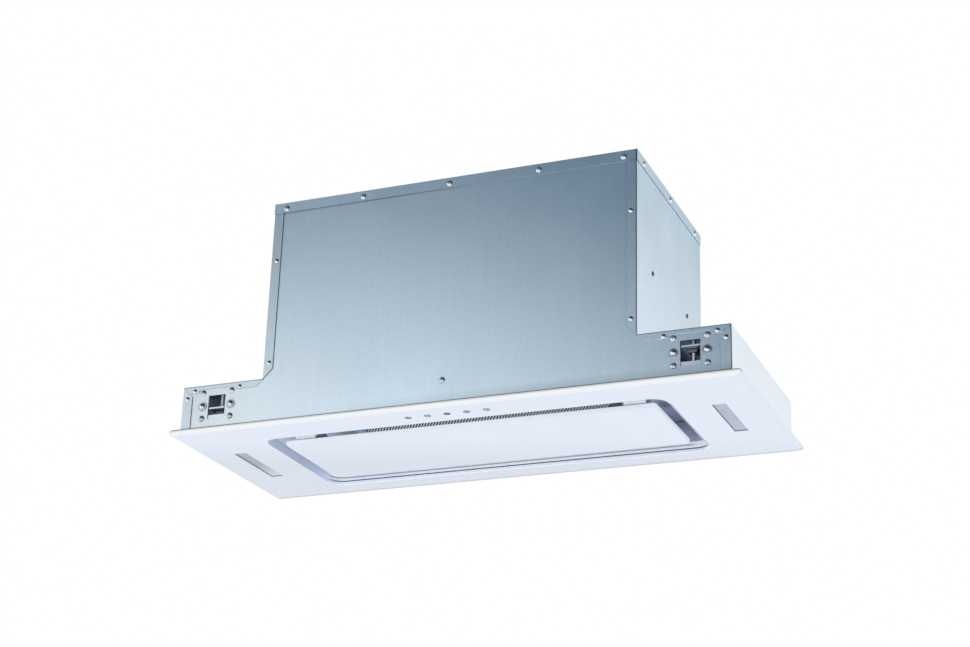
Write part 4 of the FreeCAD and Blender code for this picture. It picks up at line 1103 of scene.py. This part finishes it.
def filter_weave():
    """Crossed strands in place of the plain filter block: a bright layer below, darker ones above with
    painted shade.
    """
    low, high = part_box("filter_mesh")
    margin = Vector((strand_width, strand_width, strand_height * 1.5))
    low = low + margin
    high = high - margin
    bottom = bmesh.new()
    weave_layer(bottom, low, high, 0)
    piece = new_piece("filter_weave", bottom, mesh_aluminium(), "casing")
    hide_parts("filter_mesh")
    core = bmesh.new()
    for layer in range(1, strand_layers):
        weave_layer(core, low, high, layer)
    new_piece("filter_core", core, shaded_mesh_aluminium(), "casing")


def filter_pull():
    """Blue plastic tab at the left end of the filter, to draw it out by."""
    bm = bmesh.new()
    section = [(0, pull_top), (0, pull_bottom),
               (pull_sheet, pull_bottom - pull_slope), (pull_sheet, pull_top)]
    band(bm, pull_low, pull_high, pull_corner, section)
    low = Vector((pull_low[0] + pull_sheet, pull_low[1] + pull_sheet, pull_bottom))
    high = Vector((pull_high[0] - pull_sheet, pull_high[1] - pull_sheet, pull_top))
    shape = Matrix.Diagonal((*(high - low), 1))
    bmesh.ops.create_cube(bm, size=1, matrix=Matrix.Translation((low + high) / 2) @ shape)
    look = moulded_plastic("blue_plastic", (0.40, 0.66, 0.80), (0.46, 0.74, 0.88), 0.3, 0.45)
    return new_piece("filter_pull", bm, look, "casing")


# Rings of the wall holes
def wall_ring(bm, centre, side, section):
    """Ring that stands out of a side wall; the section is a loop of (radius, rise)."""
    rings = []
    for number in range(grommet_steps):
        angle = 2 * math.pi * number / grommet_steps
        out = Vector((0, math.cos(angle), math.sin(angle)))
        rings.append([bm.verts.new(centre + out * radius + Vector((side * rise, 0, 0)))
                      for radius, rise in section])
    loop_faces(bm, rings, True)


def hole_grommets():
    """Low rubber rings round the screw holes in the tower's side walls."""
    half_rise = grommet_rise / 2
    section = [(grommet_bore, 0), (grommet_radius, 0), (grommet_radius, half_rise),
               (grommet_radius - half_rise, grommet_rise), (grommet_bore, grommet_rise)]
    bm = bmesh.new()
    for side in (-1, 1):
        for y in grommet_places:
            wall_ring(bm, Vector((side * tower_half_width, y, grommet_height)), side, section)
    return new_piece("hole_grommets", bm, looks["foam_rubber"], "casing")


# Studio
def background_share(material):
    """1 for rays that show the backdrop as it is: from the camera, off metal and through glass."""
    path = add_node(material, "LightPath").outputs
    return largest(material, *(path["Is " + ray + " Ray"] for ray in ("Camera", "Glossy", "Transmission")))


def floor_material():
    """Near-white floor that looks almost as bright as the backdrop."""
    material = new_material("floor")
    cloud = noise(material, object_place(material), 3, 2)
    tone = colour_between(material, cloud, (0.86, 0.87, 0.88), (0.88, 0.89, 0.90))
    set_shader(material, Base_Color=tone, Roughness=0.9)
    lit = add_node(material, "Emission", {"Strength": 1.0})
    inputs = {0: product(material, background_share(material), floor_white),
              1: shader_of(material).outputs["BSDF"], 2: lit.outputs["Emission"]}
    shown = add_node(material, "MixShader", inputs).outputs["Shader"]
    feed(material, material.node_tree.nodes["Material Output"].inputs["Surface"], shown)
    return material


def sheet(name, corner, across, along, material):
    """Flat rectangle from one corner, with these two sides."""
    start = Vector(corner)
    turn = start + Vector(across)
    rise = Vector(along)
    mesh = bpy.data.meshes.new(name)
    mesh.from_pydata([start, turn, turn + rise, start + rise], [], [(0, 1, 2, 3)])
    mesh.materials.append(material)
    made = bpy.data.objects.new(name, mesh)
    bpy.context.scene.collection.objects.link(made)
    return made


def floor():
    corner = (-floor_reach, -floor_reach, -floor_drop)
    plane = sheet("floor", corner, (2 * floor_reach, 0, 0), (0, 2 * floor_reach, 0), floor_material())


def card(name, corner, across, along, operation, vector, near, far):
    """Studio card that only polished faces mirror.

    Its measure is the distance from the vector or the dot product with it, as the operation says.
    It is shaded from near to far, each a pair of a measure and a colour.
    """
    material = new_material(name)
    inputs = {0: object_place(material), 1: vector}
    measure = add_node(material, "VectorMath", inputs, operation=operation).outputs["Value"]
    share = between(material, measure, 0, 1, near[0], far[0])
    tone = colour_between(material, share, near[1], far[1], 0, 1)
    set_shader(material, Base_Color=(0, 0, 0, 1), Roughness=1.0, Specular_IOR_Level=0.0,
               Emission_Color=tone, Emission_Strength=1.0)
    made = sheet(name, corner, across, along, material)
    made.visible_camera = False
    made.visible_diffuse = False
    made.visible_shadow = False


def cards():
    """Cards that darken the front wall to its top right, the right wall to its top and the screws."""
    card("front_card", (-4, front_card_y, 0.5), (8, 0, 0), (0, 0, 4), "DISTANCE", front_glow,
         (1.144, (1.42, 1.45, 1.43)), (1.895, (0.03, 0.095, 0.155)))
    card("rear_card", (-1, rear_card_y, 0.7), (5, 0, 0), (0, 0, 3.8), "DOT_PRODUCT", (-1.625, 0, 1),
         (-0.63, (1.27, 1.20, 1.15)), (-0.14, (0.08, 0.24, 0.34)))
    card("right_card", (right_card_x, -2.4, 0), (0, 3, 0), (0, 0, 4), "DOT_PRODUCT", up,
         (0, (0.30, 0.34, 0.38)), (1.5, (0.10, 0.13, 0.16)))
    card("ceiling_card", (-6, -6, ceiling_card_z), (12, 0, 0), (0, 12, 0), "DOT_PRODUCT", (0, 1, 0),
         (-4, (0.22, 0.26, 0.30)), (4, (0.34, 0.38, 0.42)))


def world():
    """White backdrop, which lights the part a little less than it shows."""
    made = bpy.data.worlds.new("studio")
    made.use_nodes = True
    bpy.context.scene.world = made
    background = made.node_tree.nodes["Background"]
    background.inputs["Color"].default_value = (*white, 1)
    strength = between(made, background_share(made), ambient_strength, 1.0, 0, 1)
    feed(made, background.inputs["Strength"], strength)


def key_lamp():
    light = bpy.data.lights.new("key", "AREA")
    light.shape = "DISK"
    light.size = key_size
    light.energy = key_watts
    lamp = bpy.data.objects.new("key", light)
    lamp.location = key_place
    lamp.rotation_euler = (Vector(key_aim) - Vector(key_place)).to_track_quat("-Z", "Y").to_euler()
    lamp.visible_glossy = False
    bpy.context.scene.collection.objects.link(lamp)


def camera():
    """Camera that looks up at the part from the front right and below."""
    forward = Vector((-math.sin(camera_azimuth) * math.cos(camera_elevation),
                      math.cos(camera_azimuth) * math.cos(camera_elevation), math.sin(camera_elevation)))
    level = forward.cross(up).normalized()
    upright = level.cross(forward)
    picture_right = level * math.cos(camera_roll) + upright * math.sin(camera_roll)
    picture_up = upright * math.cos(camera_roll) - level * math.sin(camera_roll)
    data = bpy.data.cameras.new("camera")
    data.lens = camera_lens
    data.sensor_width = camera_sensor
    data.sensor_fit = "HORIZONTAL"
    data.clip_end = camera_reach
    view = bpy.data.objects.new("camera", data)
    turn = Matrix((picture_right, picture_up, -forward)).transposed()
    view.matrix_world = Matrix.Translation(camera_aim - forward * camera_distance) @ turn.to_4x4()
    bpy.context.scene.collection.objects.link(view)
    bpy.context.scene.camera = view


def studio():
    bpy.context.scene.view_settings.view_transform = "Standard"
    world()
    floor()
    cards()
    key_lamp()
    camera()


dress_nodes()
touch_marks()
filter_weave()
filter_pull()
striker_blocks()
opening_lining()
hole_grommets()
tab_steel = bright_strip()
for end in (-1, 1):
    panel_tab(end, tab_steel)
    lens_gasket(end)
studio()
